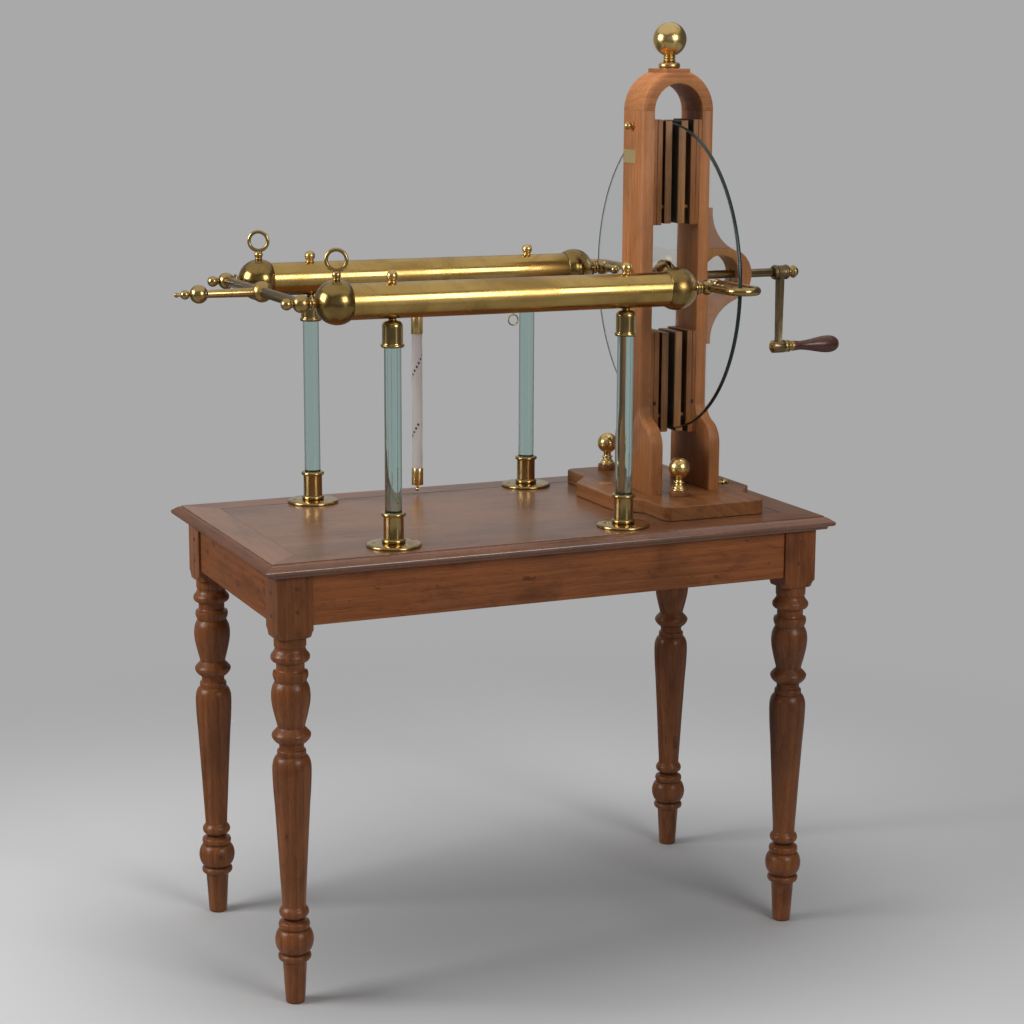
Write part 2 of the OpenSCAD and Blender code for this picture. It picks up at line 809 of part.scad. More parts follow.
// Half of an upright, drawn in the plane of the board: x away from the middle, y up, z outwards
module upright_half(out) {
    strip = edge_round + 6;
    core = edge_round;
    half = upright_w / 2;
    foot_w = half + out;
    turn = flare_turn(out);
    flare_z = flare_top(out);
    c1 = [half + flare_r1, flare_z];
    c2 = [foot_w - flare_r2, foot_z];
    linear_extrude(height = upright_t) polygon(concat(
        [[0, flare_z], [half - core, flare_z]],
        arc_curve(c1[0], c1[1], flare_r1 + core, 180, 180 + turn),
        arc_curve(c2[0], c2[1], flare_r2 - core, turn, 0),
        [[foot_w - core, base_z], [0, base_z]]));
    translate([c1[0], c1[1], 0]) rotate([0, 0, 180]) rotate_extrude(angle = turn)
        translate([flare_r1, 0]) hollow_strip(strip);
    translate([c2[0], c2[1], 0]) rotate_extrude(angle = turn)
        translate([flare_r2 - strip, 0]) edge_strip(strip);
    translate([foot_w - strip, foot_z, 0]) rotate([90, 0, 0]) linear_extrude(height = foot_h)
        edge_strip(strip);
    translate([0, seam_z, 0]) rotate([90, 0, 0]) linear_extrude(height = seam_z - flare_z) edge_strip(half);
}

// An upright board with its outer face towards +X, its inner face at x = 0
module upright_board() {
    rotate([90, 0, 90]) {
        upright_half(foot_rear);
        mirror([1, 0, 0]) upright_half(foot_front);
    }
}

module bush_hole() {
    translate([0, 0, axis_z]) along_x() cyl(plate_x - 200, plate_x + 300, bush_r + fit_gap);
}

module upright_left() {
    color(frame_wood) placed() difference() {
        translate([plate_x - bay, 0, 0]) mirror([1, 0, 0]) upright_board();
        bush_hole();
        translate([plate_x - bay - upright_t, 0, screw_z]) rotate([0, 90, 0])
            cyl(-1, post_depth, post_r + fit_gap);
    }
}

module upright_right() {
    color(frame_wood) placed() difference() {
        translate([plate_x + bay, 0, 0]) upright_board();
        bush_hole();
        translate([upright_x, stud_y, stud_z]) along_x() cyl(-stud_depth, 1, stud_r + fit_gap);
    }
}

module arch() {
    depth = upright_w / 2;
    color(frame_wood) placed() difference() {
        translate([plate_x, 0, seam_z]) rotate([90, 0, 0]) rotate_extrude(angle = 180)
            translate([bay, 0]) rotate([0, 0, 90]) mirror([0, 1]) {
                edge_strip(depth);
                mirror([1, 0]) edge_strip(depth);
            }
        translate([plate_x - bay, -upright_w, cap_z]) cube([2 * bay, 2 * upright_w, 20]);
    }
}

module arch_cap() {
    color(frame_wood) placed() difference() {
        translate([plate_x - cap_w / 2, -cap_d / 2, cap_z]) cube([cap_w, cap_d, cap_t]);
        translate([plate_x, 0, 0]) cyl(cap_z - 1, cap_z + cap_t + 1, post_r + fit_gap);
    }
}

module finial() {
    z = cap_z + cap_t;
    color(brass) placed() translate([plate_x, 0, 0]) {
        cyl(cap_z + fit_gap, z + 2, post_r);
        bead(z + 3, 18, 3);
        bead(z + 8, 16, 2.6);
        cyl(z + 4, z + 28, 9.5);
        bead(z + 15, 12.5, 3);
        bead(z + 22, 11.5, 2);
        ball(z + 20 + finial_r, finial_r);
    }
}

// Bow bracket: an ogee outline with a round eye, that carries the outer end of the axle
module bow_bracket() {
    cove_x = bow_lip + bow_cove_r;
    color(frame_wood) placed() difference() {
        translate([upright_x, bow_w / 2, axis_z]) rotate([90, 0, 0]) linear_extrude(height = bow_w) difference() {
            union() {
                translate([bow_nose_x, 0]) circle(r = bow_nose_r);
                translate([0, -bow_half_h]) square([bow_nose_x + bow_nose_r / 3, 2 * bow_half_h]);
            }
            for (s = [-1, 1]) translate([cove_x, s * bow_cusp_z]) circle(r = bow_cove_r);
            for (s = [-1, 1]) translate([bow_lip, s > 0 ? bow_cusp_z : -bow_half_h - 1])
                square([bow_out, bow_lip_h + 1]);
            translate([-bow_nose_r, -bow_half_h]) square([bow_nose_r, 2 * bow_half_h]);
            translate([bow_hole_x, 0]) circle(r = bow_hole_r);
        }
        bush_hole();
    }
}

// A bush with its flange on the side that local +Z points to
module bush(length) {
    difference() {
        union() {
            cyl(0, length, bush_r);
            cyl(length, length + bush_flange_t, bush_flange_r);
        }
        cyl(-1, length + bush_flange_t + 1, axle_r + run_gap);
    }
}

module axle_bushes() {
    color(old_brass) placed() translate([0, 0, axis_z]) {
        translate([plate_x - bay, 0, 0]) rotate([0, -90, 0]) bush(upright_t);
        translate([plate_x + bay, 0, 0]) along_x() bush(upright_t);
        translate([bow_x - bow_wall + 1, 0, 0]) along_x() bush(bow_wall - 1);
    }
}

// Small turned fittings of the frame
screw_z = seam_z - 26;
post_r = 3;
post_depth = 14;
stud_r = 3;
stud_depth = 14;
stud_y = 12 - upright_w / 2 - foot_front;
stud_z = base_z + 11;

module upright_knob() {
    color(brass) placed() translate([plate_x - bay - upright_t, 0, screw_z]) rotate([0, -90, 0]) {
        cyl(-post_depth + 1, 8, post_r);
        bead(1.5, 7, 1.5);
        ball(9, 7);
    }
}

module earth_stud() {
    color(old_brass) placed() translate([upright_x, stud_y, stud_z]) difference() {
        along_x() {
            cyl(-stud_depth + 1, 12, stud_r);
            bead(1.5, 5.8, 1.5);
            cyl(10, 21, 5);
            bead(21, 4.8, 1.5);
        }
        translate([16, 0, 0]) along_y() cyl(-10, 10, 2.2);
    }
}

// Rubbers: side is -1 or 1 across the plate, up is -1 or 1 from the axle
module at_rubber(side, up) {
    translate([plate_x, 0, axis_z + up * rubber_mid]) mirror([side < 0 ? 1 : 0, 0, 0]) children();
}

module pin_places() {
    for (s = [-1, 1]) translate([0, s * pin_y, s * pin_z]) children();
}

module backing_boards() {
    groove = 1.2;
    color(frame_wood) placed() for (side = [-1, 1], up = [-1, 1]) at_rubber(side, up) difference() {
        translate([backing_x, -upright_w / 2 + 2, -rubber_l / 2]) cube([backing_t, upright_w - 4, rubber_l]);
        for (s = [-1, 1]) translate([backing_x + backing_t * 0.55, s * (upright_w / 2 - 2) - groove, -rubber_l])
            cube([groove, 2 * groove, 2 * rubber_l]);
        pin_places() along_x() cyl(backing_x - 1, backing_x + pin_depth, pin_r + run_gap);
    }
}

module rubber_board(side, up) {
    edge = 2;
    color(frame_wood) placed() at_rubber(side, up) {
        translate([board_x, -rubber_w / 2, -rubber_l / 2 + edge]) cube([board_t, rubber_w, rubber_l - 2 * edge]);
        pin_places() along_x() cyl(board_x + board_t - 1, backing_x + pin_depth - 4, pin_r);
    }
}

// The pad is flat on its board, and crowned towards the glass with drawn-in sides
module rubber_pad(side, up) {
    half_w = rubber_w / 2 - 1;
    half_l = rubber_l / 2 - 3;
    lip = pad_t - pad_crown - 1.2;
    crown_r = (half_w * half_w + pad_crown * pad_crown) / (2 * pad_crown);
    color(leather) placed() at_rubber(side, up) translate([0, 0, -half_l]) linear_extrude(height = 2 * half_l) {
        intersection() {
            translate([pad_x, -half_w + 1.2]) square([pad_t, 2 * half_w - 2.4]);
            translate([pad_x + crown_r, 0]) circle(r = crown_r, $fn = 720);
        }
        translate([board_x - lip, -half_w]) square([lip, 2 * half_w]);
    }
}

module rubber_board_upper_left() rubber_board(-1, 1);
module rubber_board_upper_right() rubber_board(1, 1);
module rubber_board_lower_left() rubber_board(-1, -1);
module rubber_board_lower_right() rubber_board(1, -1);
module rubber_pad_upper_left() rubber_pad(-1, 1);
module rubber_pad_upper_right() rubber_pad(1, 1);
module rubber_pad_lower_left() rubber_pad(-1, -1);
module rubber_pad_lower_right() rubber_pad(1, -1);

// Bowed strips that press the rubbers on the plate: their ends lie by the backing boards
module leaf_springs() {
    rise = spring_gap - spring_t - 2 * face_gap;
    bend_r = (spring_l * spring_l / 4 + rise * rise) / (2 * rise);
    x = backing_x - spring_gap + face_gap;
    color(old_brass) placed() for (side = [-1, 1], up = [-1, 1]) at_rubber(side, up) intersection() {
        translate([x, -spring_w / 2, -spring_l / 2]) cube([spring_gap - 2 * face_gap, spring_w, spring_l]);
        translate([x + bend_r, 0, 0]) along_y() difference() {
            cyl(-spring_w, spring_w, bend_r, $fn = 360);
            cyl(-spring_w - 1, spring_w + 1, bend_r - spring_t, $fn = 360);
        }
    }
}

// Plate, axle and crank

module glass_plate() {
    color(pale_glass) placed() translate([plate_x, 0, axis_z]) along_x() difference() {
        cyl(-plate_t / 2, plate_t / 2, plate_r);
        cyl(-plate_t, plate_t, axle_r + 1);
    }
}

module hub_flanges() {
    washer_t = 4;
    color(old_brass) placed() translate([plate_x, 0, axis_z]) for (s = [-1, 1]) mirror([s < 0 ? 1 : 0, 0, 0]) along_x() difference() {
        union() {
            cyl(plate_t / 2, plate_t / 2 + washer_t, hub_r);
            intersection() {
                ball(plate_t / 2 + washer_t - 9, hub_r - 2);
                cyl(plate_t / 2 + washer_t, plate_t / 2 + hub_t - 4, hub_r);
            }
            cyl(plate_t / 2, plate_t / 2 + hub_t, 14);
        }
        cyl(0, plate_t + hub_t, axle_r + fit_gap);
    }
}

module axle() {
    color(old_brass) placed() translate([0, 0, axis_z]) along_x()
        cyl(plate_x - bay - upright_t - bush_flange_t - 2, crank_x + boss_half - nut_lap, axle_r);
}

nut_lap = 4;

module crank_arm() {
    top_w2 = 9;
    low_w2 = 6;
    color(old_brass) placed() difference() {
        union() {
            translate([crank_x, 0, axis_z]) along_x() {
                cyl(-boss_half, boss_half, boss_r - 1.5);
                bead(-boss_half + 4, boss_r, 4);
                bead(boss_half - 4, boss_r, 4);
            }
            translate([crank_x - arm_t / 2, 0, axis_z]) rotate([90, 0, 90]) linear_extrude(height = arm_t)
                polygon([[-top_w2, 0], [-low_w2, -crank_r], [low_w2, -crank_r], [top_w2, 0]]);
            translate([crank_x, 0, axis_z - crank_r]) along_x() cyl(-eye_half, eye_half, eye_boss_r);
        }
        translate([0, 0, axis_z]) along_x() cyl(crank_x - boss_half - 1, crank_x + boss_half + 1, axle_r + fit_gap);
        translate([0, 0, axis_z - crank_r]) along_x() cyl(crank_x - 50, crank_x + 50, spindle_r + fit_gap);
    }
}

module crank_nut() {
    color(brass) placed() translate([0, 0, axis_z]) along_x() {
        cyl(crank_x + boss_half - nut_lap, crank_x + boss_half + 8, axle_r - 1);
        bead(crank_x + boss_half + 2, 9.5, 2);
        translate([0, 0, crank_x + boss_half + 12]) {
            sphere(r = 10);
            bead(0, 11.5, 3);
        }
    }
}

module handle_spindle() {
    color(old_brass) placed() translate([0, 0, axis_z - crank_r]) along_x() {
        cyl(crank_x - eye_half - 1, grip_x + grip_l * 0.7, spindle_r);
        intersection() {
            ball(crank_x - eye_half + 8, 13.5);
            cyl(crank_x - eye_half - 8, crank_x - eye_half, 12);
        }
        cyl(collar_x, collar_x + collar_t, 10.5);
    }
}

module grip_ferrule() {
    color(old_brass) placed() translate([0, 0, axis_z - crank_r]) along_x() difference() {
        union() {
            cyl(ferrule_x, grip_x, ferrule_r - 1);
            bead(ferrule_x + 3, ferrule_r + 1.5, 2.5);
            bead(grip_x - 2, ferrule_r, 2);
        }
        cyl(ferrule_x - 1, grip_x + 1, spindle_r + run_gap);
    }
}

module handle_grip() {
    neck_r = 6.9;
    root_r = 8.2;
    belly = 0.68;
    color([0.30, 0.14, 0.10]) placed() translate([grip_x, 0, axis_z - crank_r]) along_x() difference() {
        rotate_extrude() polygon(concat(
            [[0, 0]],
            [for (p = ease_curve(0, root_r, grip_l * 0.14, neck_r, 4)) p],
            [for (p = ease_curve(grip_l * 0.2, neck_r, grip_l * belly, grip_r, 10)) p],
            [for (i = [1:8]) let (a = 90 * i / 8)
                [grip_r * cos(a), grip_l * belly + grip_l * (1 - belly) * sin(a)]]));
        cyl(-1, grip_l * 0.7 + 2, spindle_r + run_gap);
    }
}

table_top_panel();
table_top_border();
apron_rails_long();
apron_rails_short();
leg_front_left();
leg_front_right();
leg_back_left();
leg_back_right();
apron_pegs();
column_glass_front();
column_glass_rear();
column_bases();
column_caps();
conductor_front();
conductor_rear();
conductor_balls();
terminal_knobs();
ring_eye_front();
ring_eye_rear();
jaw_front();
jaw_rear();
crossbar();
crossbar_joints();
joint_screws();
discharge_rod();
spark_hanger();
spark_glass();
spark_ferrules();
wire_ring();
base_board();
clamp_washers();
clamp_knob_front();
clamp_knob_rear();
upright_left();
upright_right();
arch();
arch_cap();
finial();
bow_bracket();
axle_bushes();
upright_knob();
earth_stud();
backing_boards();
leaf_springs();
rubber_board_upper_left();
rubber_board_upper_right();
rubber_board_lower_left();
rubber_board_lower_right();
rubber_pad_upper_left();
rubber_pad_upper_right();
rubber_pad_lower_left();
rubber_pad_lower_right();
glass_plate();
hub_flanges();
axle();
crank_arm();
crank_nut();
handle_spindle();
grip_ferrule();
handle_grip();
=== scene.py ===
import json
import math

import bmesh
import bpy
from bpy.props import FloatProperty, FloatVectorProperty, IntProperty, PointerProperty
from mathutils import Matrix, Vector


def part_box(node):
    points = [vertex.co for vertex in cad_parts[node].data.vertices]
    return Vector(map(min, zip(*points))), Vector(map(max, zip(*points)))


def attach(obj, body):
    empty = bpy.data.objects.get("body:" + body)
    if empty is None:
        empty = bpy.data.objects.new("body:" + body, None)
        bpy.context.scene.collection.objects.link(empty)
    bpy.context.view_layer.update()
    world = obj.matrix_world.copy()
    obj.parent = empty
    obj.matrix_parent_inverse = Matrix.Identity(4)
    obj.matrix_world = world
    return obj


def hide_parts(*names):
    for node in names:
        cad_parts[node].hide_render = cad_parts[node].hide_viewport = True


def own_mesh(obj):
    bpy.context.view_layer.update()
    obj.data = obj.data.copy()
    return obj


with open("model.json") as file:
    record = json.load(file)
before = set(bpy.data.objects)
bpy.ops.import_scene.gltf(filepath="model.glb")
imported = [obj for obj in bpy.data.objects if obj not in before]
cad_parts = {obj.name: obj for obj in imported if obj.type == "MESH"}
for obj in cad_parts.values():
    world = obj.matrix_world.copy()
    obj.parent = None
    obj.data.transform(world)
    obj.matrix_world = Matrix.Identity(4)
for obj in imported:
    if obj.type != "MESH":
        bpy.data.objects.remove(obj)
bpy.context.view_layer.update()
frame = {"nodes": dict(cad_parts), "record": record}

bl_info = {
    "name": "Plate friction machine",
    "version": (1, 0, 0),
    "blender": (4, 5, 0),
    "location": "View3D > Sidebar > Machine",
    "description": "Dresses the frame of a plate friction machine on its table",
    "category": "Object",
}

MM = 0.001
NODES = frame["nodes"]
BODY_OF = {n: b for b, members in frame["record"]["behaviour"]["bodies"].items() for n in members}


def middle(node):
    """The middle of a frame node's box."""
    low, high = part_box(node)
    return (low + high) / 2


def extent(node):
    """The size of a frame node's box."""
    low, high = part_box(node)
    return high - low


def mm(length):
    """A length of the frame in millimetres, to a hundredth."""
    return round(length / MM, 2)


def across(node):
    """The two ends of a frame node along the table, in millimetres from the table's middle."""
    return [mm(end.x - TABLE_X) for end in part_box(node)]


def at(x, y, z):
    """A place in millimetres from the middle of the table and from the floor."""
    return Vector((TABLE_X + x * MM, y * MM, z * MM))


# Places and sizes that follow from the frame, in metres

PLATE = middle("glass_plate")
PLATE_R = extent("glass_plate").z / 2
TOP_LOW, TOP_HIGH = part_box("table_top_border")
TABLE_X = (TOP_LOW.x + TOP_HIGH.x) / 2

# In millimetres, from the middle of the table and from the floor; the bare numbers repeat sizes of the source

TABLE_TOP = mm(TOP_HIGH.z)
APRON_TOP = mm(TOP_LOW.z)
BLOCK_HALF = 30
BLOCK_FOOT = 623
LEG_X = mm(extent("apron_rails_long").x) / 2 + BLOCK_HALF
LEG_Y = mm(extent("apron_rails_short").y) / 2 + BLOCK_HALF
ROW_Y = mm(middle("column_glass_rear").y)
ROWS = (("front", -ROW_Y), ("rear", ROW_Y))
COLUMN_R = 14
COLUMN_X = (across("column_glass_front")[0] + COLUMN_R, across("column_glass_front")[1] - COLUMN_R)
COLUMNS = [(x, y) for x in COLUMN_X for y in (-ROW_Y, ROW_Y)]
BELL_FOOT = mm(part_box("column_caps")[0].z)
TERMINAL_FOOT = 1177.6
AXIS = mm(middle("axle").z)
TUBE_ENDS = across("conductor_front")
BALL_OUT = 20
BALLS = (TUBE_ENDS[0] - BALL_OUT, TUBE_ENDS[1] + BALL_OUT)
PLATE_X = mm(PLATE.x - TABLE_X)
SPARK_X = mm(middle("spark_glass").x - TABLE_X)


# Sizes and colours

class MachineSizes(bpy.types.PropertyGroup):
    """Sizes of the finish that a maker would change"""
    soft_edge: FloatProperty(
        name="Soft edge", description="Rounding of the edges of the boards", default=1.6 * MM, unit="LENGTH")
    lathe_steps: IntProperty(
        name="Lathe steps", description="Flats round a turned piece", default=64, min=24, max=128)
    foil_size: FloatProperty(
        name="Foil size", description="Width of a lozenge on the spark tube", default=5.0 * MM, unit="LENGTH")
    foil_pitch: FloatProperty(
        name="Foil pitch", description="Rise of the lozenges in one turn", default=109 * MM, unit="LENGTH")
    label_width: FloatProperty(
        name="Label width", description="Width of the bare brass label", default=43 * MM, unit="LENGTH")
    label_height: FloatProperty(
        name="Label height", description="Height of the bare brass label", default=23 * MM, unit="LENGTH")


def colour(name, description, value):
    """A colour that the sidebar shows."""
    return FloatVectorProperty(name=name, description=description, subtype="COLOR", size=3, min=0, max=1,
                               default=value)


class MachineColours(bpy.types.PropertyGroup):
    """Colours of the finishes"""
    frame_light: colour("Frame wood, light", "Early wood of the frame", (0.50, 0.212, 0.076))
    frame_dark: colour("Frame wood, dark", "Late wood of the frame", (0.32, 0.116, 0.038))
    apron_light: colour("Apron wood, light", "Early wood of the apron", (0.335, 0.117, 0.036))
    apron_dark: colour("Apron wood, dark", "Late wood of the apron", (0.180, 0.055, 0.018))
    leg_light: colour("Leg wood, light", "Early wood of the legs", (0.265, 0.094, 0.030))
    leg_dark: colour("Leg wood, dark", "Late wood of the legs", (0.118, 0.037, 0.012))
    top_light: colour("Table top, light", "Early wood of the table top", (0.225, 0.110, 0.058))
    top_dark: colour("Table top, dark", "Late wood of the table top", (0.120, 0.052, 0.027))
    moulding: colour("Moulding", "Dark polish on the moulded edge", (0.124, 0.052, 0.027))
    brass_bright: colour("Brass, polished", "Polished brass", (0.80, 0.56, 0.22))
    brass_dull: colour("Brass, tarnished", "Tarnish on polished brass", (0.38, 0.235, 0.075))
    conductor: colour("Conductor brass", "Lacquered brass of the conductors", (0.60, 0.395, 0.125))
    conductor_dull: colour("Conductor tarnish", "Brown bloom on the conductors", (0.30, 0.175, 0.048))
    old_brass: colour("Old brass", "Brown brass of the rods and the crank", (0.36, 0.26, 0.13))
    old_brass_dull: colour("Old brass tarnish", "Tarnish on the rods and the crank", (0.16, 0.105, 0.05))
    column_tint: colour("Column glass", "Tint of the solid glass columns", (0.575, 0.75, 0.71))
    plate_tint: colour("Plate glass", "Tint of the plate", (0.975, 0.993, 0.988))
    rim: colour("Plate rim", "Green of the ground rim of the plate", (0.006, 0.022, 0.018))
    rubber_light: colour("Rubber boards, light", "Worn wood of the rubber boards", (0.51, 0.262, 0.108))
    rubber_dark: colour("Rubber boards, dark", "Dark wood of the rubber boards", (0.155, 0.070, 0.028))
    leather: colour("Leather", "Leather of the rubbers", (0.030, 0.020, 0.014))
    grip: colour("Grip", "Polished wood of the grip", (0.120, 0.046, 0.032))
    foil: colour("Foil", "Lozenges of foil on the spark tube", (0.030, 0.006, 0.006))
    floor: colour("Floor", "Paper under and behind the object", (0.397, 0.397, 0.397))


def sizes():
    """The sizes set in the sidebar."""
    return bpy.context.scene.machine_sizes


def colours():
    """The colours set in the sidebar."""
    return bpy.context.scene.machine_colours


# Node groups and materials

def dial(node, **values):
    """Sets inputs of a node, each named with _ for a space."""
    for name, value in values.items():
        node.inputs[name.replace("_", " ")].default_value = value


def add_node(tree, kind, **values):
    """A new node, whose values go to its settings or, failing that, to its inputs."""
    node = tree.nodes.new(kind)
    for name, value in values.items():
        if hasattr(node, name):
            setattr(node, name, value)
        else:
            dial(node, **{name: value})
    return node


def feed(tree, socket, value):
    """Gives an input a number, a colour or another node's output."""
    if isinstance(value, (int, float)):
        socket.default_value = value
    elif isinstance(value, (tuple, list)):
        socket.default_value = (*value[:3], 1)
    else:
        tree.links.new(value, socket)


def new_group(name, inputs, outputs):
    """A node group with named sockets; returns the tree, what it is given and its output node."""
    tree = bpy.data.node_groups.new(name, "ShaderNodeTree")
    for label, kind, value in inputs:
        socket = tree.interface.new_socket(label, in_out="INPUT", socket_type="NodeSocket" + kind)
        if value is not None:
            socket.default_value = value
    for label, kind in outputs:
        tree.interface.new_socket(label, in_out="OUTPUT", socket_type="NodeSocket" + kind)
    return tree, add_node(tree, "NodeGroupInput").outputs, add_node(tree, "NodeGroupOutput")


def maths(tree, operation, a, b, clamp=False):
    """The result of a sum of two values."""
    node = add_node(tree, "ShaderNodeMath", operation=operation, use_clamp=clamp)
    feed(tree, node.inputs[0], a)
    feed(tree, node.inputs[1], b)
    return node.outputs[0]


def times(tree, a, b):
    """The product of two values."""
    return maths(tree, "MULTIPLY", a, b)


def ramp(tree, value, low, high, to_low=0.0, to_high=1.0):
    """A value eased from one range to another."""
    node = add_node(tree, "ShaderNodeMapRange", interpolation_type="SMOOTHSTEP", From_Min=low, From_Max=high,
                    To_Min=to_low, To_Max=to_high)
    tree.links.new(value, node.inputs["Value"])
    return node.outputs["Result"]


def mix(tree, factor, a, b, blend="MIX"):
    """One colour laid over another; the Mix node's colour sockets are its inputs 6 and 7 and output 2."""
    node = add_node(tree, "ShaderNodeMix", data_type="RGBA", blend_type=blend)
    for socket, value in zip((node.inputs[0], node.inputs[6], node.inputs[7]), (factor, a, b)):
        feed(tree, socket, value)
    return node.outputs[2]


def tinted(tree, mask, tone, source, tint):
    """A tone that turns, where the mask shows, into a source times a tint."""
    return mix(tree, mask, tone, mix(tree, 1.0, source, tint, "MULTIPLY"))


def stretch(tree, vector, by):
    """A place scaled along each axis."""
    node = add_node(tree, "ShaderNodeVectorMath", operation="MULTIPLY")
    tree.links.new(vector, node.inputs[0])
    node.inputs[1].default_value = by
    return node.outputs[0]


def noise(tree, vector, scale, detail=4.0, rough=0.55, distortion=0.0):
    """Cloudy noise at a place."""
    node = add_node(tree, "ShaderNodeTexNoise", Scale=scale, Detail=detail, Roughness=rough,
                    Distortion=distortion)
    tree.links.new(vector, node.inputs["Vector"])
    return node.outputs["Fac"]


def put_out(tree, tail, **values):
    """Links values to the outputs of a node group."""
    for name, value in values.items():
        tree.links.new(value, tail.inputs[name])


def grain_group():
    """Wood with its grain along X: growth rings, fibres, pores and blotches of old polish."""
    tree, given, tail = new_group("Wood grain", [
        ("Vector", "Vector", None), ("Light", "Color", (0.5, 0.3, 0.1, 1)),
        ("Dark", "Color", (0.2, 0.1, 0.05, 1)), ("Rings", "Float", 30.0), ("Figure", "Float", 0.5),
        ("Hollow shade and grime", "Float", 0.0), ("Sheen and wear", "Float", 0.0), ("Stain", "Float", 0.3), ("Pores", "Float", 0.5)],
        [("Color", "Color"), ("Gloss", "Float"), ("Height", "Float")])
    vector = given["Vector"]

    def streaks(along, *texture):
        """Noise drawn out along the grain."""
        return noise(tree, stretch(tree, vector, (along, 1, 1)), *texture)

    fibre = streaks(0.05, 160, 5, 0.6)
    fine = streaks(0.03, 760, 3, 0.6)
    pore = ramp(tree, streaks(0.045, 1300, 2, 0.5), 0.57, 0.70)
    blotch = streaks(0.55, 7.5, 4, 0.55)
    scuff = noise(tree, vector, 60, 6, 0.65)
    wave = add_node(tree, "ShaderNodeTexWave", wave_type="RINGS", rings_direction="X", wave_profile="SAW",
                    Distortion=3.0, Detail=3.0, Detail_Scale=1.2, Detail_Roughness=0.55)
    tree.links.new(stretch(tree, vector, (0.10, 1, 1)), wave.inputs["Vector"])
    tree.links.new(given["Rings"], wave.inputs["Scale"])
    ringed = mix(tree, given["Figure"], ramp(tree, fibre, 0.28, 0.72), wave.outputs["Fac"])
    tone = maths(tree, "ADD", times(tree, ringed, 0.72), times(tree, ramp(tree, fine, 0.3, 0.7), 0.28))
    base = mix(tree, tone, given["Dark"], given["Light"])
    aged = tinted(tree, ramp(tree, blotch, 0.36, 0.68), base, base, (1.22, 1.16, 1.06))
    aged = tinted(tree, ramp(tree, blotch, 0.50, 0.30, 0.0, 0.55), aged, aged, (0.60, 0.55, 0.52))
    aged = tinted(tree, times(tree, pore, given["Pores"]), aged, aged, (0.38, 0.33, 0.30))
    stain = ramp(tree, streaks(0.45, 19, 5, 0.62, 0.8), 0.50, 0.74)
    knock = ramp(tree, streaks(0.6, 52, 3, 0.5), 0.66, 0.74)
    marks = times(tree, maths(tree, "MAXIMUM", stain, knock), given["Stain"])
    aged = tinted(tree, marks, aged, aged, (0.46, 0.39, 0.36))
    # painted highlight with rubbing: the rims lighten towards the light tone
    worn = times(tree, given["Sheen and wear"], ramp(tree, scuff, 0.42, 0.60))
    aged = tinted(tree, worn, aged, given["Light"], (1.25, 1.2, 1.1))
    # painted shade with grime: the hollows darken towards the dark tone
    dirt_and_shade = times(tree, given["Hollow shade and grime"], ramp(tree, scuff, 0.25, 0.55, 0.65, 1.0))
    aged = tinted(tree, dirt_and_shade, aged, given["Dark"], (0.22, 0.20, 0.20))
    gloss = maths(tree, "ADD", times(tree, scuff, 0.6), times(tree, dirt_and_shade, 0.5), True)
    height = maths(tree, "SUBTRACT", times(tree, fibre, 0.6), pore)
    put_out(tree, tail, Color=aged, Gloss=gloss, Height=height)
    return tree


def patina_group():
    """Brass with clouds of tarnish, small spots, fine rubbing marks, and grime with painted shade in its
    hollows.
    """
    tree, given, tail = new_group("Brass patina", [
        ("Vector", "Vector", None), ("Bright", "Color", (0.8, 0.6, 0.2, 1)),
        ("Dull", "Color", (0.3, 0.2, 0.1, 1)), ("Clouds", "Float", 12.0), ("Amount", "Float", 0.5),
        ("Hollow shade and grime", "Float", 0.0)],
        [("Color", "Color"), ("Tarnish", "Float"), ("Height", "Float")])
    vector = given["Vector"]
    clouds = add_node(tree, "ShaderNodeTexNoise", Detail=5.0, Roughness=0.6, Distortion=0.6)
    tree.links.new(vector, clouds.inputs["Vector"])
    tree.links.new(given["Clouds"], clouds.inputs["Scale"])
    cloud = ramp(tree, clouds.outputs["Fac"], 0.36, 0.70)
    spots = ramp(tree, noise(tree, vector, 140, 7, 0.7), 0.56, 0.74)
    rub = noise(tree, stretch(tree, vector, (0.08, 1, 1)), 420, 4, 0.65)
    tarnish = times(tree, maths(tree, "MAXIMUM", cloud, times(tree, spots, 0.8)), given["Amount"])
    # painted shade with grime: the hollows tarnish and darken
    tarnish = maths(tree, "MAXIMUM", tarnish, given["Hollow shade and grime"], True)
    tone = mix(tree, tarnish, given["Bright"], given["Dull"])
    tone = tinted(tree, times(tree, given["Hollow shade and grime"], 0.75), tone, given["Dull"], (0.25, 0.22, 0.20))
    dulled = maths(tree, "ADD", times(tree, tarnish, 0.7), times(tree, rub, 0.3))
    height = maths(tree, "ADD", times(tree, rub, 0.4), times(tree, spots, 0.6))
    put_out(tree, tail, Color=tone, Tarnish=dulled, Height=height)
    return tree


def placed_group(tree, name, make, **values):
    """A node group, made on first use, placed in a material with its own values."""
    group = bpy.data.node_groups.get(name) or make()
    return add_node(tree, "ShaderNodeGroup", node_tree=group, **values)


def new_material(name):
    """A material with nothing but a Principled BSDF."""
    material = bpy.data.materials.new(name)
    material.use_nodes = True
    tree = material.node_tree
    tree.nodes.clear()
    out = add_node(tree, "ShaderNodeOutputMaterial")
    shader = add_node(tree, "ShaderNodeBsdfPrincipled")
    tree.links.new(shader.outputs[0], out.inputs[0])
    return material, tree, shader


def object_vector(tree, turn=(0, 0, 0), offset=(0, 0, 0)):
    """The place on the object, turned and moved."""
    coords = add_node(tree, "ShaderNodeTexCoord")
    place = add_node(tree, "ShaderNodeMapping", Rotation=[math.radians(a) for a in turn], Location=offset)
    tree.links.new(coords.outputs["Object"], place.inputs["Vector"])
    return place.outputs[0]


def attribute(tree, name):
    """A value that the mesh holds at each point."""
    return add_node(tree, "ShaderNodeAttribute", attribute_name=name).outputs["Fac"]


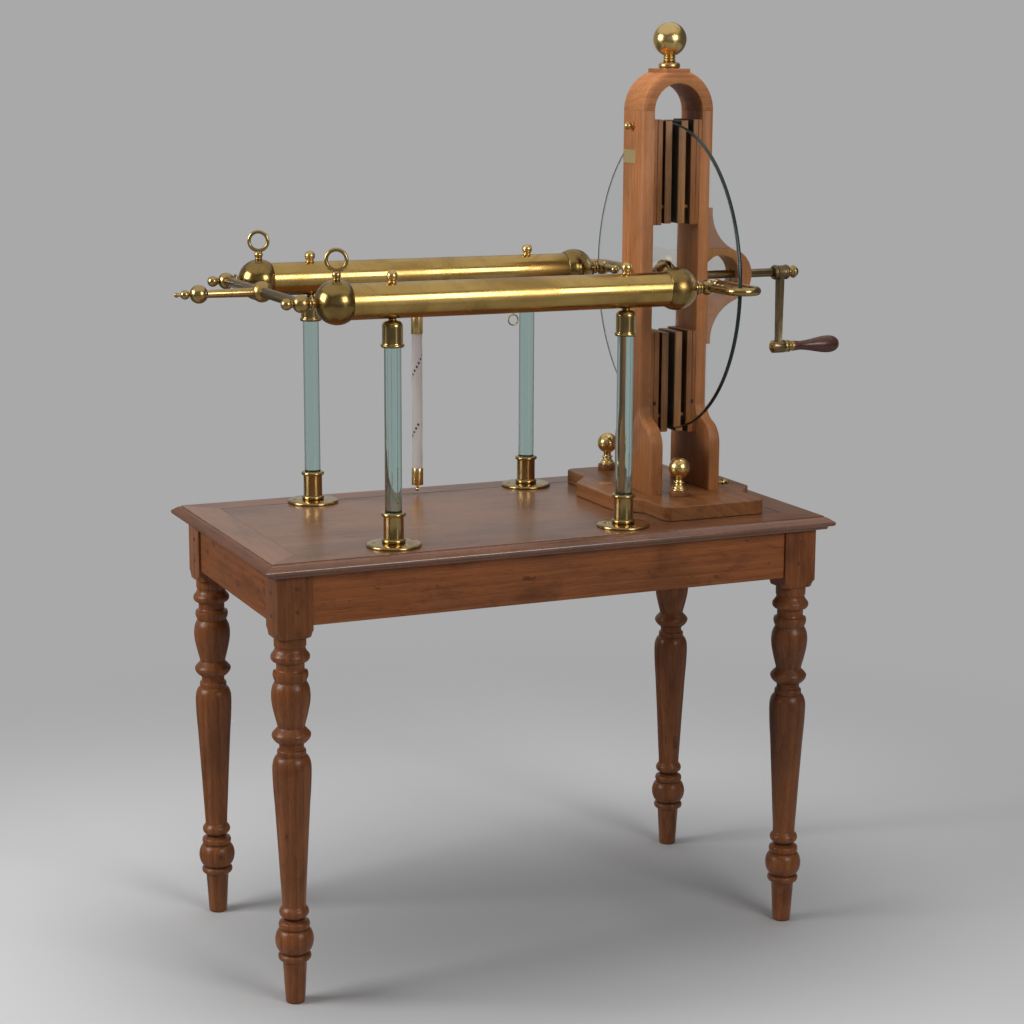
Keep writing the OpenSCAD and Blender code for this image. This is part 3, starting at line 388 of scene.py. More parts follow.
def bump(tree, shader, height, strength, distance):
    """Roughens a surface by a height."""
    node = add_node(tree, "ShaderNodeBump", Strength=strength, Distance=distance)
    tree.links.new(height, node.inputs["Height"])
    tree.links.new(node.outputs[0], shader.inputs["Normal"])


def wood(name, light, dark, along, offset=(0.0, 0.35, 0.21), rings=26.0, figure=0.45, gloss=(0.46, 0.70),
         coat=0.04, relief=0.12, stain=0.25, pores=0.5, fade=None):
    """Polished wood with its grain along one axis, that may darken towards black between two heights as
    painted shade.
    """
    material, tree, shader = new_material(name)
    grain = placed_group(tree, "Wood grain", grain_group, Light=(*light, 1), Dark=(*dark, 1), Rings=rings,
                         Figure=figure, Stain=stain, Pores=pores)
    tree.links.new(object_vector(tree, along, offset), grain.inputs["Vector"])
    # the hollows take painted shade with grime, the rims a painted sheen with rubbing
    tree.links.new(attribute(tree, "groove"), grain.inputs["Hollow shade and grime"])
    tree.links.new(attribute(tree, "rim_sheen_and_wear"), grain.inputs["Sheen and wear"])
    tone = grain.outputs["Color"]
    # painted shade: the colour darkens towards black below the upper height
    if fade:
        place = add_node(tree, "ShaderNodeSeparateXYZ")
        tree.links.new(object_vector(tree), place.inputs[0])
        tone = mix(tree, ramp(tree, place.outputs["Z"], *fade), tone, (0.0, 0.0, 0.0))
    tree.links.new(tone, shader.inputs["Base Color"])
    tree.links.new(ramp(tree, grain.outputs["Gloss"], 0.1, 0.8, *gloss), shader.inputs["Roughness"])
    dial(shader, Specular_IOR_Level=0.26, Coat_Weight=coat, Coat_Roughness=0.18)
    if relief:
        bump(tree, shader, grain.outputs["Height"], relief, 0.4 * MM)
    return material


def brass(name, bright, dull, clouds, amount, gloss, relief=0.05):
    """Lacquered brass with clouds of tarnish."""
    material, tree, shader = new_material(name)
    patina = placed_group(tree, "Brass patina", patina_group, Bright=(*bright, 1), Dull=(*dull, 1),
                          Clouds=clouds, Amount=amount)
    tree.links.new(object_vector(tree), patina.inputs["Vector"])
    # the hollows take painted shade with grime
    tree.links.new(attribute(tree, "groove"), patina.inputs["Hollow shade and grime"])
    tree.links.new(patina.outputs["Color"], shader.inputs["Base Color"])
    tree.links.new(ramp(tree, patina.outputs["Tarnish"], 0.05, 0.85, *gloss), shader.inputs["Roughness"])
    dial(shader, Metallic=1.0, Coat_Weight=0.15, Coat_Roughness=0.16)
    bump(tree, shader, patina.outputs["Height"], relief, 0.15 * MM)
    return material


def glass(name, tint, rough, ior, relief=0.0, edge=None, clear=1.0):
    """Glass of one tint, or one that deepens to another where the surface turns away, as painted shade at its
    edges.
    """
    material, tree, shader = new_material(name)
    dial(shader, Base_Color=(*tint, 1), Roughness=rough, IOR=ior, Transmission_Weight=clear)
    # painted shade: the tint deepens where the surface turns away from the eye
    if edge:
        facing = add_node(tree, "ShaderNodeLayerWeight", Blend=0.5).outputs["Facing"]
        deepened = mix(tree, ramp(tree, facing, 0.26, 0.72), tuple(tint), tuple(edge))
        tree.links.new(deepened, shader.inputs["Base Color"])
    if relief:
        waves = noise(tree, stretch(tree, object_vector(tree), (1, 1, 0.25)), 70, 3, 0.5)
        bump(tree, shader, waves, relief, 0.6 * MM)
    return material


def plain(name, tint, rough, metallic, scale, relief):
    """A finish of one colour, broken up by fine mottling."""
    vary, gloss_spread = 0.35, 0.12
    material, tree, shader = new_material(name)
    vector = object_vector(tree)
    mottle = noise(tree, vector, scale, 5, 0.6)
    patch = noise(tree, vector, scale / 9, 3, 0.5)
    both = times(tree, maths(tree, "ADD", mottle, patch), 0.5)
    dark = [c * (1 - vary) for c in tint]
    light = [min(c * (1 + vary), 1) for c in tint]
    tree.links.new(mix(tree, ramp(tree, both, 0.35, 0.65), dark, light), shader.inputs["Base Color"])
    smoothest, roughest = max(rough - gloss_spread, 0.03), min(rough + gloss_spread, 1)
    tree.links.new(ramp(tree, both, 0.3, 0.7, smoothest, roughest), shader.inputs["Roughness"])
    shader.inputs["Metallic"].default_value = metallic
    bump(tree, shader, mottle, relief, 0.25 * MM)
    return material


def rim(name, tint):
    """The ground rim of the plate: deep green from outside, pale where it is seen through the glass."""
    material = plain(name, tint, 0.30, 0.0, 240.0, 0.02)
    tree = material.node_tree
    shader = tree.nodes["Principled BSDF"]
    inside = add_node(tree, "ShaderNodeNewGeometry").outputs["Backfacing"]
    dark = shader.inputs["Base Color"].links[0].from_socket
    tree.links.new(mix(tree, inside, dark, (0.42, 0.45, 0.44)), shader.inputs["Base Color"])
    return material


# Finishes

ALONG_X, ALONG_Y, ALONG_Z = (0, 0, 0), (0, 0, 90), (0, 90, 0)
BORDER_TONE = (1.15, 1.0, 0.84)
# painted shade on the frame: about a quarter darker at and below 0.80 m, none from 1.15 m up
FOOT_SHADE = (0.80, 1.15, 0.26, 0.0)
TOP_POLISH = {"coat": 0.12, "gloss": (0.27, 0.37), "relief": 0.0, "stain": 0.5, "pores": 0.12}


def toned(tint, by):
    """A colour made lighter or darker, all alike or channel by channel."""
    shares = by if isinstance(by, tuple) else (by, by, by)
    return [value * share for value, share in zip(tint, shares)]


def timber(light, dark, along, by=1.0, dark_by=None, **polish):
    """The values of a wooden finish, with its two tones made lighter or darker."""
    return {"light": toned(light, by), "dark": toned(dark, dark_by or by), "along": along, **polish}


def wood_finishes(c):
    """The values of each wooden finish."""
    frame_wood, leg_wood = (c.frame_light, c.frame_dark), (c.leg_light, c.leg_dark)
    apron_wood, top_wood = (c.apron_light, c.apron_dark), (c.top_light, c.top_dark)
    return {
        "frame": timber(*frame_wood, ALONG_Z, fade=FOOT_SHADE),
        "frame_right": timber(*frame_wood, ALONG_Z, offset=(0.3, 0.12, 0.05)),
        "frame_bow": timber(*frame_wood, ALONG_Z, offset=(0.1, 0.5, 0.4)),
        "frame_arch": timber(*frame_wood, ALONG_X, 1.15, offset=(0.2, 0.2, 0.1)),
        "frame_along": timber(*frame_wood, ALONG_X),
        "base": timber(*frame_wood, ALONG_Y, 0.60, 0.52, rings=18.0, figure=0.55, stain=0.6, coat=0.09,
                       gloss=(0.34, 0.54)),
        "plug": timber(*frame_wood, ALONG_X, 0.80),
        "backing": timber(*frame_wood, ALONG_Z, 0.72, 0.64, rings=40.0),
        "apron_x": timber(*apron_wood, ALONG_X, rings=20.0, coat=0.06, gloss=(0.38, 0.60), stain=0.8),
        "apron_y": timber(*apron_wood, ALONG_Y, 0.72, rings=20.0, coat=0.0, gloss=(0.50, 0.72), stain=0.8),
        "leg": timber(*leg_wood, ALONG_Z, rings=24.0, coat=0.09, gloss=(0.30, 0.52), stain=0.7),
        "peg": timber(*leg_wood, ALONG_X, 0.6, rings=90.0),
        "dark_wood": timber(*leg_wood, ALONG_X, 0.55, 0.6, rings=40.0),
        # painted shade: near-black wood for faces that look into the narrow space between boards
        "gap": timber(c.leg_dark, c.leg_dark, ALONG_Z, 0.4, 0.25, rings=40.0, coat=0.0),
        "top_x": timber(*top_wood, ALONG_X, BORDER_TONE, rings=14.0, **TOP_POLISH),
        "top_y": timber(*top_wood, ALONG_Y, 1.26, 1.2, rings=14.0, **TOP_POLISH),
        "top_panel": timber(*top_wood, ALONG_X, 1.08, rings=9.0, offset=(0.4, 0.1, 0.3), **TOP_POLISH),
        "moulding_x": timber(c.moulding, c.moulding, ALONG_X, 1.9, 1.0, rings=30.0, coat=1.0,
                             gloss=(0.24, 0.42), relief=0.04),
        # painted shade: a darker copy of the moulding for the short sides, which lie in shade
        "moulding_y": timber(c.moulding, c.moulding, ALONG_Y, 1.4, 0.7, rings=30.0, coat=0.08,
                             gloss=(0.30, 0.52)),
        "rubber_board": timber(c.rubber_light, c.rubber_dark, ALONG_Z, rings=40.0, gloss=(0.4, 0.7), coat=0.0),
        "grip": timber(c.grip, c.grip, ALONG_X, 1.0, 0.45, rings=30.0, coat=0.3, gloss=(0.22, 0.42)),
    }


def metal(bright, dull, clouds, amount, gloss, **more):
    """The values of a brass finish."""
    return {"bright": bright, "dull": dull, "clouds": clouds, "amount": amount, "gloss": gloss, **more}


def brass_finishes(c):
    """The values of each brass finish."""
    return {
        "polished": metal(c.brass_bright, c.brass_dull, 26.0, 0.55, (0.22, 0.40)),
        "label": metal((0.85, 0.66, 0.32), (0.55, 0.41, 0.18), 26.0, 0.5, (0.40, 0.55)),
        "column_brass": metal(toned(c.brass_bright, 0.62), toned(c.brass_dull, 0.8), 26.0, 0.55, (0.15, 0.32)),
        "conductor": metal(c.conductor, c.conductor_dull, 9.0, 0.75, (0.18, 0.38), relief=0.02),
        "conductor_ball": metal(toned(c.conductor, 0.58), toned(c.conductor_dull, 0.7), 22.0, 0.6,
                                (0.20, 0.40), relief=0.02),
        "aged": metal(toned(c.brass_bright, 0.68), c.brass_dull, 18.0, 0.65, (0.18, 0.40)),
        "old": metal(c.old_brass, c.old_brass_dull, 20.0, 0.75, (0.22, 0.5)),
        "bar": metal(toned(c.old_brass, 0.66), c.old_brass_dull, 6.0, 0.5, (0.30, 0.44), relief=0.0),
        "axle": metal(toned(c.old_brass, 0.9), c.old_brass_dull, 20.0, 0.6, (0.12, 0.30), relief=0.02),
        "crank": metal(toned(c.old_brass, 0.7), c.old_brass_dull, 20.0, 0.85, (0.26, 0.55)),
    }


def glass_finishes(c):
    """The values of each glass finish."""
    return {
        # the column glass carries painted shade, darker at its edges
        "column_glass": {"tint": c.column_tint, "rough": 0.015, "ior": 1.5, "relief": 0.05,
                         "edge": toned(c.column_tint, 0.26)},
        "spark_glass": {"tint": (0.97, 0.925, 0.905), "rough": 0.20, "ior": 1.45, "clear": 0.62},
        "plate_glass": {"tint": c.plate_tint, "rough": 0.005, "ior": 1.45},
    }


def plain_finishes(c):
    """The values of each finish of one colour."""
    return {
        "leather": {"tint": c.leather, "rough": 0.62, "metallic": 0.0, "scale": 900.0, "relief": 0.5},
        "foil": {"tint": c.foil, "rough": 0.35, "metallic": 0.6, "scale": 500.0, "relief": 0.1},
        "steel": {"tint": (0.30, 0.28, 0.25), "rough": 0.34, "metallic": 1.0, "scale": 400.0, "relief": 0.05},
        # painted shade: near-black for the blocks that stand for dark slots
        "hole": {"tint": (0.010, 0.008, 0.006), "rough": 0.9, "metallic": 0.0, "scale": 300.0, "relief": 0.0},
    }


def rim_finishes(c):
    """The values of the plate's rim."""
    return {"rim": {"tint": c.rim}}


def finish(name):
    """The finish of that name, made on first use."""
    label = "finish_" + name
    made = bpy.data.materials.get(label)
    if made:
        return made
    for make, finishes in ((wood, wood_finishes), (brass, brass_finishes), (glass, glass_finishes),
                           (plain, plain_finishes), (rim, rim_finishes)):
        values = finishes(colours()).get(name)
        if values:
            return make(label, **values)
    raise RuntimeError("there is no finish named " + name)


# Modelling helpers

def start():
    """Leaves edit mode and deselects everything."""
    if bpy.context.object and bpy.context.object.mode != "OBJECT":
        bpy.ops.object.mode_set(mode="OBJECT")
    bpy.ops.object.select_all(action="DESELECT")


def only(piece):
    """Selects one piece and nothing else."""
    start()
    piece.select_set(True)
    bpy.context.view_layer.objects.active = piece


def take_all():
    """Selects all of the mesh that is open."""
    bpy.ops.mesh.select_all(action="SELECT")


def edit(piece):
    """Opens a piece in edit mode, with all of it selected."""
    only(piece)
    bpy.ops.object.mode_set(mode="EDIT")
    take_all()


def close(outwards=False):
    """Leaves edit mode, after turning the faces outwards where that is asked."""
    if outwards:
        take_all()
        bpy.ops.mesh.normals_make_consistent(inside=False)
    bpy.ops.object.mode_set(mode="OBJECT")


def extrude(x, y, z):
    """Extrudes what is selected."""
    bpy.ops.mesh.extrude_region_move(TRANSFORM_OT_translate={"value": (x, y, z)})


def settle(piece):
    """Applies the piece's place, so that its object sits at the origin."""
    only(piece)
    bpy.ops.object.transform_apply(location=True, rotation=True, scale=True)


def smooth(piece, angle=35):
    """Smooths the shading across edges that are blunter than the angle."""
    only(piece)
    bpy.ops.object.shade_smooth_by_angle(angle=math.radians(angle))


def paint(piece, *finishes):
    """Gives a piece its finishes, the first one all over."""
    piece.data.materials.clear()
    for name in finishes:
        piece.data.materials.append(finish(name))


def mark(piece, chosen):
    """Gives the faces that are chosen the second of the piece's finishes."""
    for face in piece.data.polygons:
        if chosen(face):
            face.material_index = 1


def fit(piece, body, slot, *nodes):
    """Puts a finished piece on its body and hides the frame nodes that it stands for; the slot is not used."""
    if nodes:
        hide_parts(*nodes)
    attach(piece, body)
    return piece


def dress(piece, finish_name, body, slot, *nodes):
    """Gives a piece one finish and fits it."""
    paint(piece, finish_name)
    return fit(piece, body, slot, *nodes)


def soften(piece, width, segments=3, angle=30):
    """Rounds the sharp edges of a piece and keeps its flat faces flat in the light."""
    only(piece)
    bpy.ops.object.shade_smooth()
    bevel = piece.modifiers.new("soft_edge", "BEVEL")
    bevel.width = width
    bevel.segments = segments
    bevel.limit_method = "ANGLE"
    bevel.angle_limit = math.radians(angle)
    bevel.use_clamp_overlap = True
    bevel.harden_normals = True
    bpy.ops.object.modifier_apply(modifier=bevel.name)


def board(name, low, high, soft=None):
    """A board between two corners, with softened edges where a width is given."""
    start()
    low, high = Vector(low), Vector(high)
    bpy.ops.mesh.primitive_cube_add(size=1, location=(low + high) / 2)
    piece = bpy.context.object
    piece.name = name
    piece.scale = high - low
    settle(piece)
    if soft:
        soften(piece, soft)
    return piece


def trace(name, points):
    """Draws a chain of edges through points and stays in edit mode, with all of it selected."""
    start()
    bpy.ops.mesh.primitive_plane_add(size=MM, location=points[0])
    piece = bpy.context.object
    piece.name = name
    settle(piece)
    edit(piece)
    bpy.ops.mesh.merge(type="CENTER")
    for a, b in zip(points, points[1:]):
        extrude(*(Vector(b) - Vector(a)))
    take_all()
    return piece


def set_attribute(piece, name, values):
    """Stores a value at each point of a mesh."""
    layer = piece.data.attributes.get(name) or piece.data.attributes.new(name, "FLOAT", "POINT")
    layer.data.foreach_set("value", values)


TURN_TO = {"Z": (0, 0, 0), "X": (0, 90, 0), "-X": (0, -90, 0), "Y": (-90, 0, 0), "-Y": (90, 0, 0)}
NEARBY = 6 * MM
WELD = 0.004 * MM


def share(value, full, most=1.0):
    """How far a value is on its way to its full size, from none to most."""
    return min(max(value / full, 0.0), most)


def mark_turning(piece, outline):
    """Marks the hollows of a turned piece for grime and painted shade, and its rims for a worn look and a
    painted sheen.
    """
    hollows, rims = [], []
    for v in piece.data.vertices:
        r = math.hypot(v.co.x, v.co.y)
        above = [p[0] for p in outline if 0 <= p[1] - v.co.z < NEARBY] or [r]
        below = [p[0] for p in outline if 0 <= v.co.z - p[1] < NEARBY] or [r]
        # depth below the nearby rims, for painted shade with grime in the hollows
        hollows.append(share(min(max(above), max(below)) - r - 0.8 * MM, 4 * MM))
        # height above the nearby hollows, for a painted sheen with rubbing on the rims
        rims.append(share(r - max(min(above), min(below)) - 1.0 * MM, 6 * MM, 0.6))
    set_attribute(piece, "groove", hollows)
    set_attribute(piece, "rim_sheen_and_wear", rims)


def turned(name, outline, place, axis="Z", steps=None, angle=40):
    """Turns an outline of (radius, height) in millimetres about its axis, as on a lathe."""
    outline = [(r * MM, z * MM) for r, z in outline]
    piece = trace(name, [Vector((r, 0, z)) for r, z in outline])
    bpy.ops.mesh.spin(steps=steps or sizes().lathe_steps, angle=2 * math.pi, center=(0, 0, 0), axis=(0, 0, 1))
    take_all()
    bpy.ops.mesh.remove_doubles(threshold=WELD / 2)
    close(outwards=True)
    mark_turning(piece, outline)
    piece.rotation_euler = [math.radians(a) for a in TURN_TO[axis]]
    piece.location = place
    settle(piece)
    smooth(piece, angle)
    return piece


def copied(piece, name, matrix):
    """A copy with its own mesh, moved by a matrix."""
    twin = bpy.data.objects.new(name, piece.data.copy())
    bpy.context.scene.collection.objects.link(twin)
    twin.data.transform(matrix)
    if matrix.determinant() < 0:
        twin.data.flip_normals()
    return twin


def joined(name, pieces):
    """Several pieces made one."""
    start()
    for p in pieces:
        p.select_set(True)
    bpy.context.view_layer.objects.active = pieces[0]
    bpy.ops.object.join()
    piece = bpy.context.object
    piece.name = name
    return piece


def spread(name, piece, places):
    """Copies a piece from the first place to the others and joins them all."""
    others = [copied(piece, name, Matrix.Translation(p - places[0])) for p in places[1:]]
    return joined(name, [piece] + others)


def planked(name, outline, depth, matrix, soft, segments):
    """Cuts a board to an outline of (x, y) in millimetres, places it and softens its edges."""
    piece = trace(name, [Vector((x * MM, y * MM, 0)) for x, y in outline])
    bpy.ops.mesh.edge_face_add()
    extrude(0, 0, depth * MM)
    close(outwards=True)
    piece.matrix_world = matrix
    settle(piece)
    soften(piece, soft, segments)
    return piece


def softened(node, width, finish_name, segments=2):
    """A copy of a frame node with its flat faces merged and its edges softened, that stands for the node."""
    piece = bpy.data.objects.new(node + "_finished", NODES[node].data.copy())
    bpy.context.scene.collection.objects.link(piece)
    edit(piece)
    bpy.ops.mesh.remove_doubles(threshold=WELD)
    bpy.ops.mesh.dissolve_limited(angle_limit=math.radians(1))
    close()
    soften(piece, width * MM, segments, 34)
    slot = next(e["material_slot"] for e in frame["record"]["subparts"] if e["node"] == node)
    return dress(piece, finish_name, BODY_OF[node], slot, node)


def paint_shade_between_boards(piece, shaded_faces):
    """Gives the faces that look into the narrow space between boards a painted shade of near-black wood."""
    piece.data.materials.append(finish("gap"))
    mark(piece, shaded_faces)


# Outlines, as lists of (radius, height)

def arc(r, z, radius, a0, a1, n=8):
    """Points on a circle about (r, z)."""
    angles = [math.radians(a0 + (a1 - a0) * i / n) for i in range(n + 1)]
    return [(r + radius * math.cos(a), z + radius * math.sin(a)) for a in angles]


def ball_arc(z, radius, low=-90, high=90, n=20):
    """A ball on the axis, between two angles."""
    return [(max(r, 0.0), height) for r, height in arc(0, z, radius, low, high, n)]


def swell(z0, z1, r, out, n=10):
    """A bead that bulges from r by out between two heights."""
    return [(r + out * math.sin(math.pi * i / n), z0 + (z1 - z0) * (1 - math.cos(math.pi * i / n)) / 2)
            for i in range(n + 1)]


def ease(z0, r0, z1, r1, n=8):
    """An easy S curve between two radii."""
    return [(r0 + (r1 - r0) * (1 - math.cos(math.pi * i / n)) / 2, z0 + (z1 - z0) * i / n)
            for i in range(n + 1)]


def flowing(points, corner=38, n=3):
    """Runs a smooth curve through an outline's gentle bends and keeps its corners."""
    points = [Vector(p) for p in points]
    made = []
    for i in range(len(points) - 1):
        chord = points[i + 1] - points[i]
        ends = []
        for k in (i, i + 1):
            inner = 0 < k < len(points) - 1
            if inner and (points[k] - points[k - 1]).angle(points[k + 1] - points[k]) < math.radians(corner):
                ends.append((points[k + 1] - points[k - 1]).normalized() * chord.length)
            else:
                ends.append(chord)
        for t in (j / n for j in range(n)):
            made.append(points[i] * (2 * t ** 3 - 3 * t ** 2 + 1) + ends[0] * (t ** 3 - 2 * t ** 2 + t)
                        + points[i + 1] * (3 * t ** 2 - 2 * t ** 3) + ends[1] * (t ** 3 - t ** 2))
    return [(max(p.x, 0.0), p.y) for p in made + points[-1:]]


# Stage

class MACHINE_OT_stage(bpy.types.Operator):
    """Sets the floor, the soft lights, the surroundings and the camera"""
    bl_idname = "machine.stage"
    bl_label = "Stage"

    def floor(self):
        """A sheet of paper that turns see-through round the object, and is painted darker towards its middle
        as a painted shadow under the object.
        """
        start()
        bpy.ops.mesh.primitive_plane_add(size=14, location=(0, 0, 0))
        floor = bpy.context.object
        floor.name = "studio_floor"
        material, tree, shader = new_material("studio_paper")
        dial(shader, Roughness=0.9, Specular_IOR_Level=0.1)
        away = add_node(tree, "ShaderNodeVectorMath", operation="LENGTH")
        tree.links.new(object_vector(tree), away.inputs[0])
        distance = away.outputs["Value"]
        tree.links.new(ramp(tree, distance, 0.95, 2.1, 1.0, 0.0), shader.inputs["Alpha"])
        # painted shadow: the paper darkens within a metre of the middle, under the object
        tone = mix(tree, ramp(tree, distance, 0.15, 0.95), (0.48, 0.48, 0.48), (0.70, 0.70, 0.70))
        tree.links.new(tone, shader.inputs["Base Color"])
        floor.data.materials.append(material)
        floor.visible_glossy = False

    def surroundings(self, scene):
        """A grey background to the eye and through glass, and a dim light from all round."""
        world = bpy.data.worlds.new("studio")
        scene.world = world
        world.use_nodes = True
        tree = world.node_tree
        tree.nodes.clear()
        out = add_node(tree, "ShaderNodeOutputWorld")
        seen = add_node(tree, "ShaderNodeBackground", Color=(*colours().floor, 1), Strength=1.0)
        light = add_node(tree, "ShaderNodeBackground", Color=(0.36, 0.36, 0.37, 1), Strength=0.28)
        rays = add_node(tree, "ShaderNodeLightPath").outputs
        pick = add_node(tree, "ShaderNodeMixShader")
        either = maths(tree, "MAXIMUM", rays["Is Camera Ray"], rays["Is Transmission Ray"])
        tree.links.new(either, pick.inputs[0])
        tree.links.new(light.outputs[0], pick.inputs[1])
        tree.links.new(seen.outputs[0], pick.inputs[2])
        tree.links.new(pick.outputs[0], out.inputs[0])

    def lamp(self, scene, name, place, size, power, shows):
        """A soft box that looks at the middle of the object."""
        data = bpy.data.lights.new(name, "AREA")
        data.shape = "RECTANGLE"
        data.size, data.size_y = size
        data.energy = power
        lamp = bpy.data.objects.new(name, data)
        scene.collection.objects.link(lamp)
        lamp.location = place
        aim = Vector((0, 0, 1.0)) - Vector(place)
        lamp.rotation_euler = aim.to_track_quat("-Z", "Y").to_euler()
        lamp.visible_camera = False
        lamp.visible_glossy = shows

    def screen(self, name, place, turn, size, glow):
        """A glowing sheet that shows in reflections only."""
        bpy.ops.mesh.primitive_plane_add(size=1, location=place, rotation=[math.radians(a) for a in turn])
        screen = bpy.context.object
        screen.name = name
        screen.scale = (*size, 1)
        settle(screen)
        material, _, shader = new_material(name)
        dial(shader, Base_Color=(0, 0, 0, 1), Emission_Color=(glow, glow, glow, 1), Emission_Strength=1.0)
        screen.data.materials.append(material)
        screen.visible_camera = screen.visible_diffuse = False
        screen.visible_transmission = screen.visible_shadow = False

    def camera(self, scene):
        """The camera of the photo."""
        yaw, pitch, roll = (math.radians(a) for a in (23.895, 11.312, 0.246))
        forward = Vector((math.sin(yaw) * math.cos(pitch), math.cos(yaw) * math.cos(pitch), -math.sin(pitch)))
        level = Vector((math.cos(yaw), -math.sin(yaw), 0))
        above = level.cross(forward)
        right = math.cos(roll) * level + math.sin(roll) * above
        up = math.cos(roll) * above - math.sin(roll) * level
        data = bpy.data.cameras.new("photo_camera")
        data.lens = 79.22
        data.sensor_width = 36
        data.clip_end = 50
        camera = bpy.data.objects.new("photo_camera", data)
        scene.collection.objects.link(camera)
        turn = Matrix((right, up, -forward)).transposed().to_4x4()
        camera.matrix_world = Matrix.Translation((TABLE_X - 1.5535, -3.5589, 1.5242)) @ turn
        scene.camera = camera

    def execute(self, context):
        self.floor()
        self.surroundings(context.scene)
        for lamp in (("softbox_left", (-3.0, 0.25, 2.1), (1.5, 1.4), 65, True),
                     ("softbox_front", (0.85, -2.9, 2.1), (1.3, 1.2), 35, True),
                     ("softbox_top", (0.1, 0.2, 3.7), (2.4, 1.8), 46, False)):
            self.lamp(context.scene, *lamp)
        for screen in (("studio_backdrop", (1.05, 3.8, 1.9), (90, 0, 0), (2.8, 4.2), 0.44),
                       ("backdrop_left", (-2.35, 3.8, 1.9), (90, 0, 0), (4.0, 4.2), 0.24),
                       ("backdrop_right", (3.95, 3.8, 1.9), (90, 0, 0), (3.0, 4.2), 0.14),
                       ("studio_ceiling", (0, 0.4, 4.2), (180, 0, 0), (7, 7), 0.62),
                       ("studio_front", (0, -5.2, 2.5), (90, 0, 0), (12, 3.4), 0.20),
                       ("studio_paper_glow", (0, -1.6, 0.004), (0, 0, 0), (7, 3.8), 0.28),
                       ("stand_left", (-3.0, 0.25, 0.75), (90, 0, 90), (0.9, 1.2), 0.35),
                       ("stand_front", (0.85, -2.9, 0.75), (90, 0, 0), (0.8, 1.2), 0.55)):
            self.screen(*screen)
        self.camera(context.scene)
        context.scene.view_settings.view_transform = "Standard"
        return {"FINISHED"}


class MACHINE_OT_frame_finishes(bpy.types.Operator):
    """Gives each piece of the frame that stays in view its finish"""
    bl_idname = "machine.frame_finishes"
    bl_label = "Frame finishes"

    def execute(self, context):
        by_slot = {
            "table_top": "top_x", "table_border": "moulding_x", "apron_wood": "apron_x", "leg_wood": "leg",
            "peg_wood": "peg", "column_glass": "column_glass", "polished_brass": "polished",
            "conductor_brass": "conductor", "aged_brass": "aged", "dull_brass": "old",
            "spark_glass": "spark_glass", "base_wood": "base", "dark_wood": "dark_wood",
            "frame_wood": "frame", "rubber_wood": "rubber_board",
            "spring_brass": "aged", "leather": "leather", "plate_glass": "plate_glass", "hub_brass": "old",
            "axle_steel": "steel", "bronze": "old", "grip_wood": "grip"}
        for entry in frame["record"]["subparts"]:
            node = NODES[entry["node"]]
            node.data.materials.clear()
            node.data.materials.append(finish(by_slot[entry["material_slot"]]))
        return {"FINISHED"}


class MACHINE_OT_table_top(bpy.types.Operator):
    """Models the mitred, moulded border boards and the panel of the table top"""
    bl_idname = "machine.table_top"
    bl_label = "Table top"

    def side(self, name, length, width, finishes):
        """One border board along X, moulded towards -Y and cut to a mitre at both ends."""
        inner, out, thick = 70, 15.5, TABLE_TOP - APRON_TOP
        section = [(-inner, 0), (-out, 0), (-out, -1.4), (-out + 0.6, -2)]
        section += [(-out + 2 + i, -2 - 0.62 * i + 0.9 * math.sin(math.pi * i / 10)) for i in range(1, 10)]
        section += [(-4.5 + 4.5 * math.cos(math.radians(a)), -12.5 + 4.5 * math.sin(math.radians(a)))
                    for a in range(56, -91, -12)]
        section += [(-9, -17), (-11, -thick), (-inner, -thick)]
        x0, y0 = -length / 2, -width / 2
        piece = trace(name, [Vector((x0, y0 - d, z)) * MM for d, z in section])
        bpy.ops.mesh.edge_face_add()
        extrude(length * MM, 0, 0)
        for end in (-1, 1):
            take_all()
            bpy.ops.mesh.bisect(plane_co=Vector((end * length / 2, y0, 0)) * MM, plane_no=(end, 1, 0),
                                use_fill=True, clear_outer=True)
        close(outwards=True)
        soften(piece, 0.5 * MM, 2)
        paint(piece, *finishes)
        mark(piece, lambda face: face.center.y < (y0 + out - 0.3) * MM or face.center.z < -(thick - 1) * MM)
        return piece

    def execute(self, context):
        length, width = (side / MM for side in (TOP_HIGH - TOP_LOW).xy)
        lift = Matrix.Translation((TABLE_X, 0, TOP_HIGH.z))
        boards = []
        for name, along, over, finishes, turns in (
                ("border_long", length, width, ("top_x", "moulding_x"), (0, 180)),
                # the short sides take the darker, shaded copy of the moulding
                ("border_short", width, length, ("top_y", "moulding_y"), (90, 270))):
            piece = self.side(name, along, over, finishes)
            for turn in turns:
                boards.append(copied(piece, name, lift @ Matrix.Rotation(math.radians(turn), 4, "Z")))
            bpy.data.objects.remove(piece)
        fit(joined("table_border", boards), "stand", "table_border", "table_top_border")
        low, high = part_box("table_top_panel")
        low += Vector((0.5, 0.5, 0)) * MM
        high -= Vector((0.5, 0.5, 0.3)) * MM
        panel = board("table_panel", low, high, 0.6 * MM)
        dress(panel, "top_panel", "stand", "table_top", "table_top_panel")
        return {"FINISHED"}


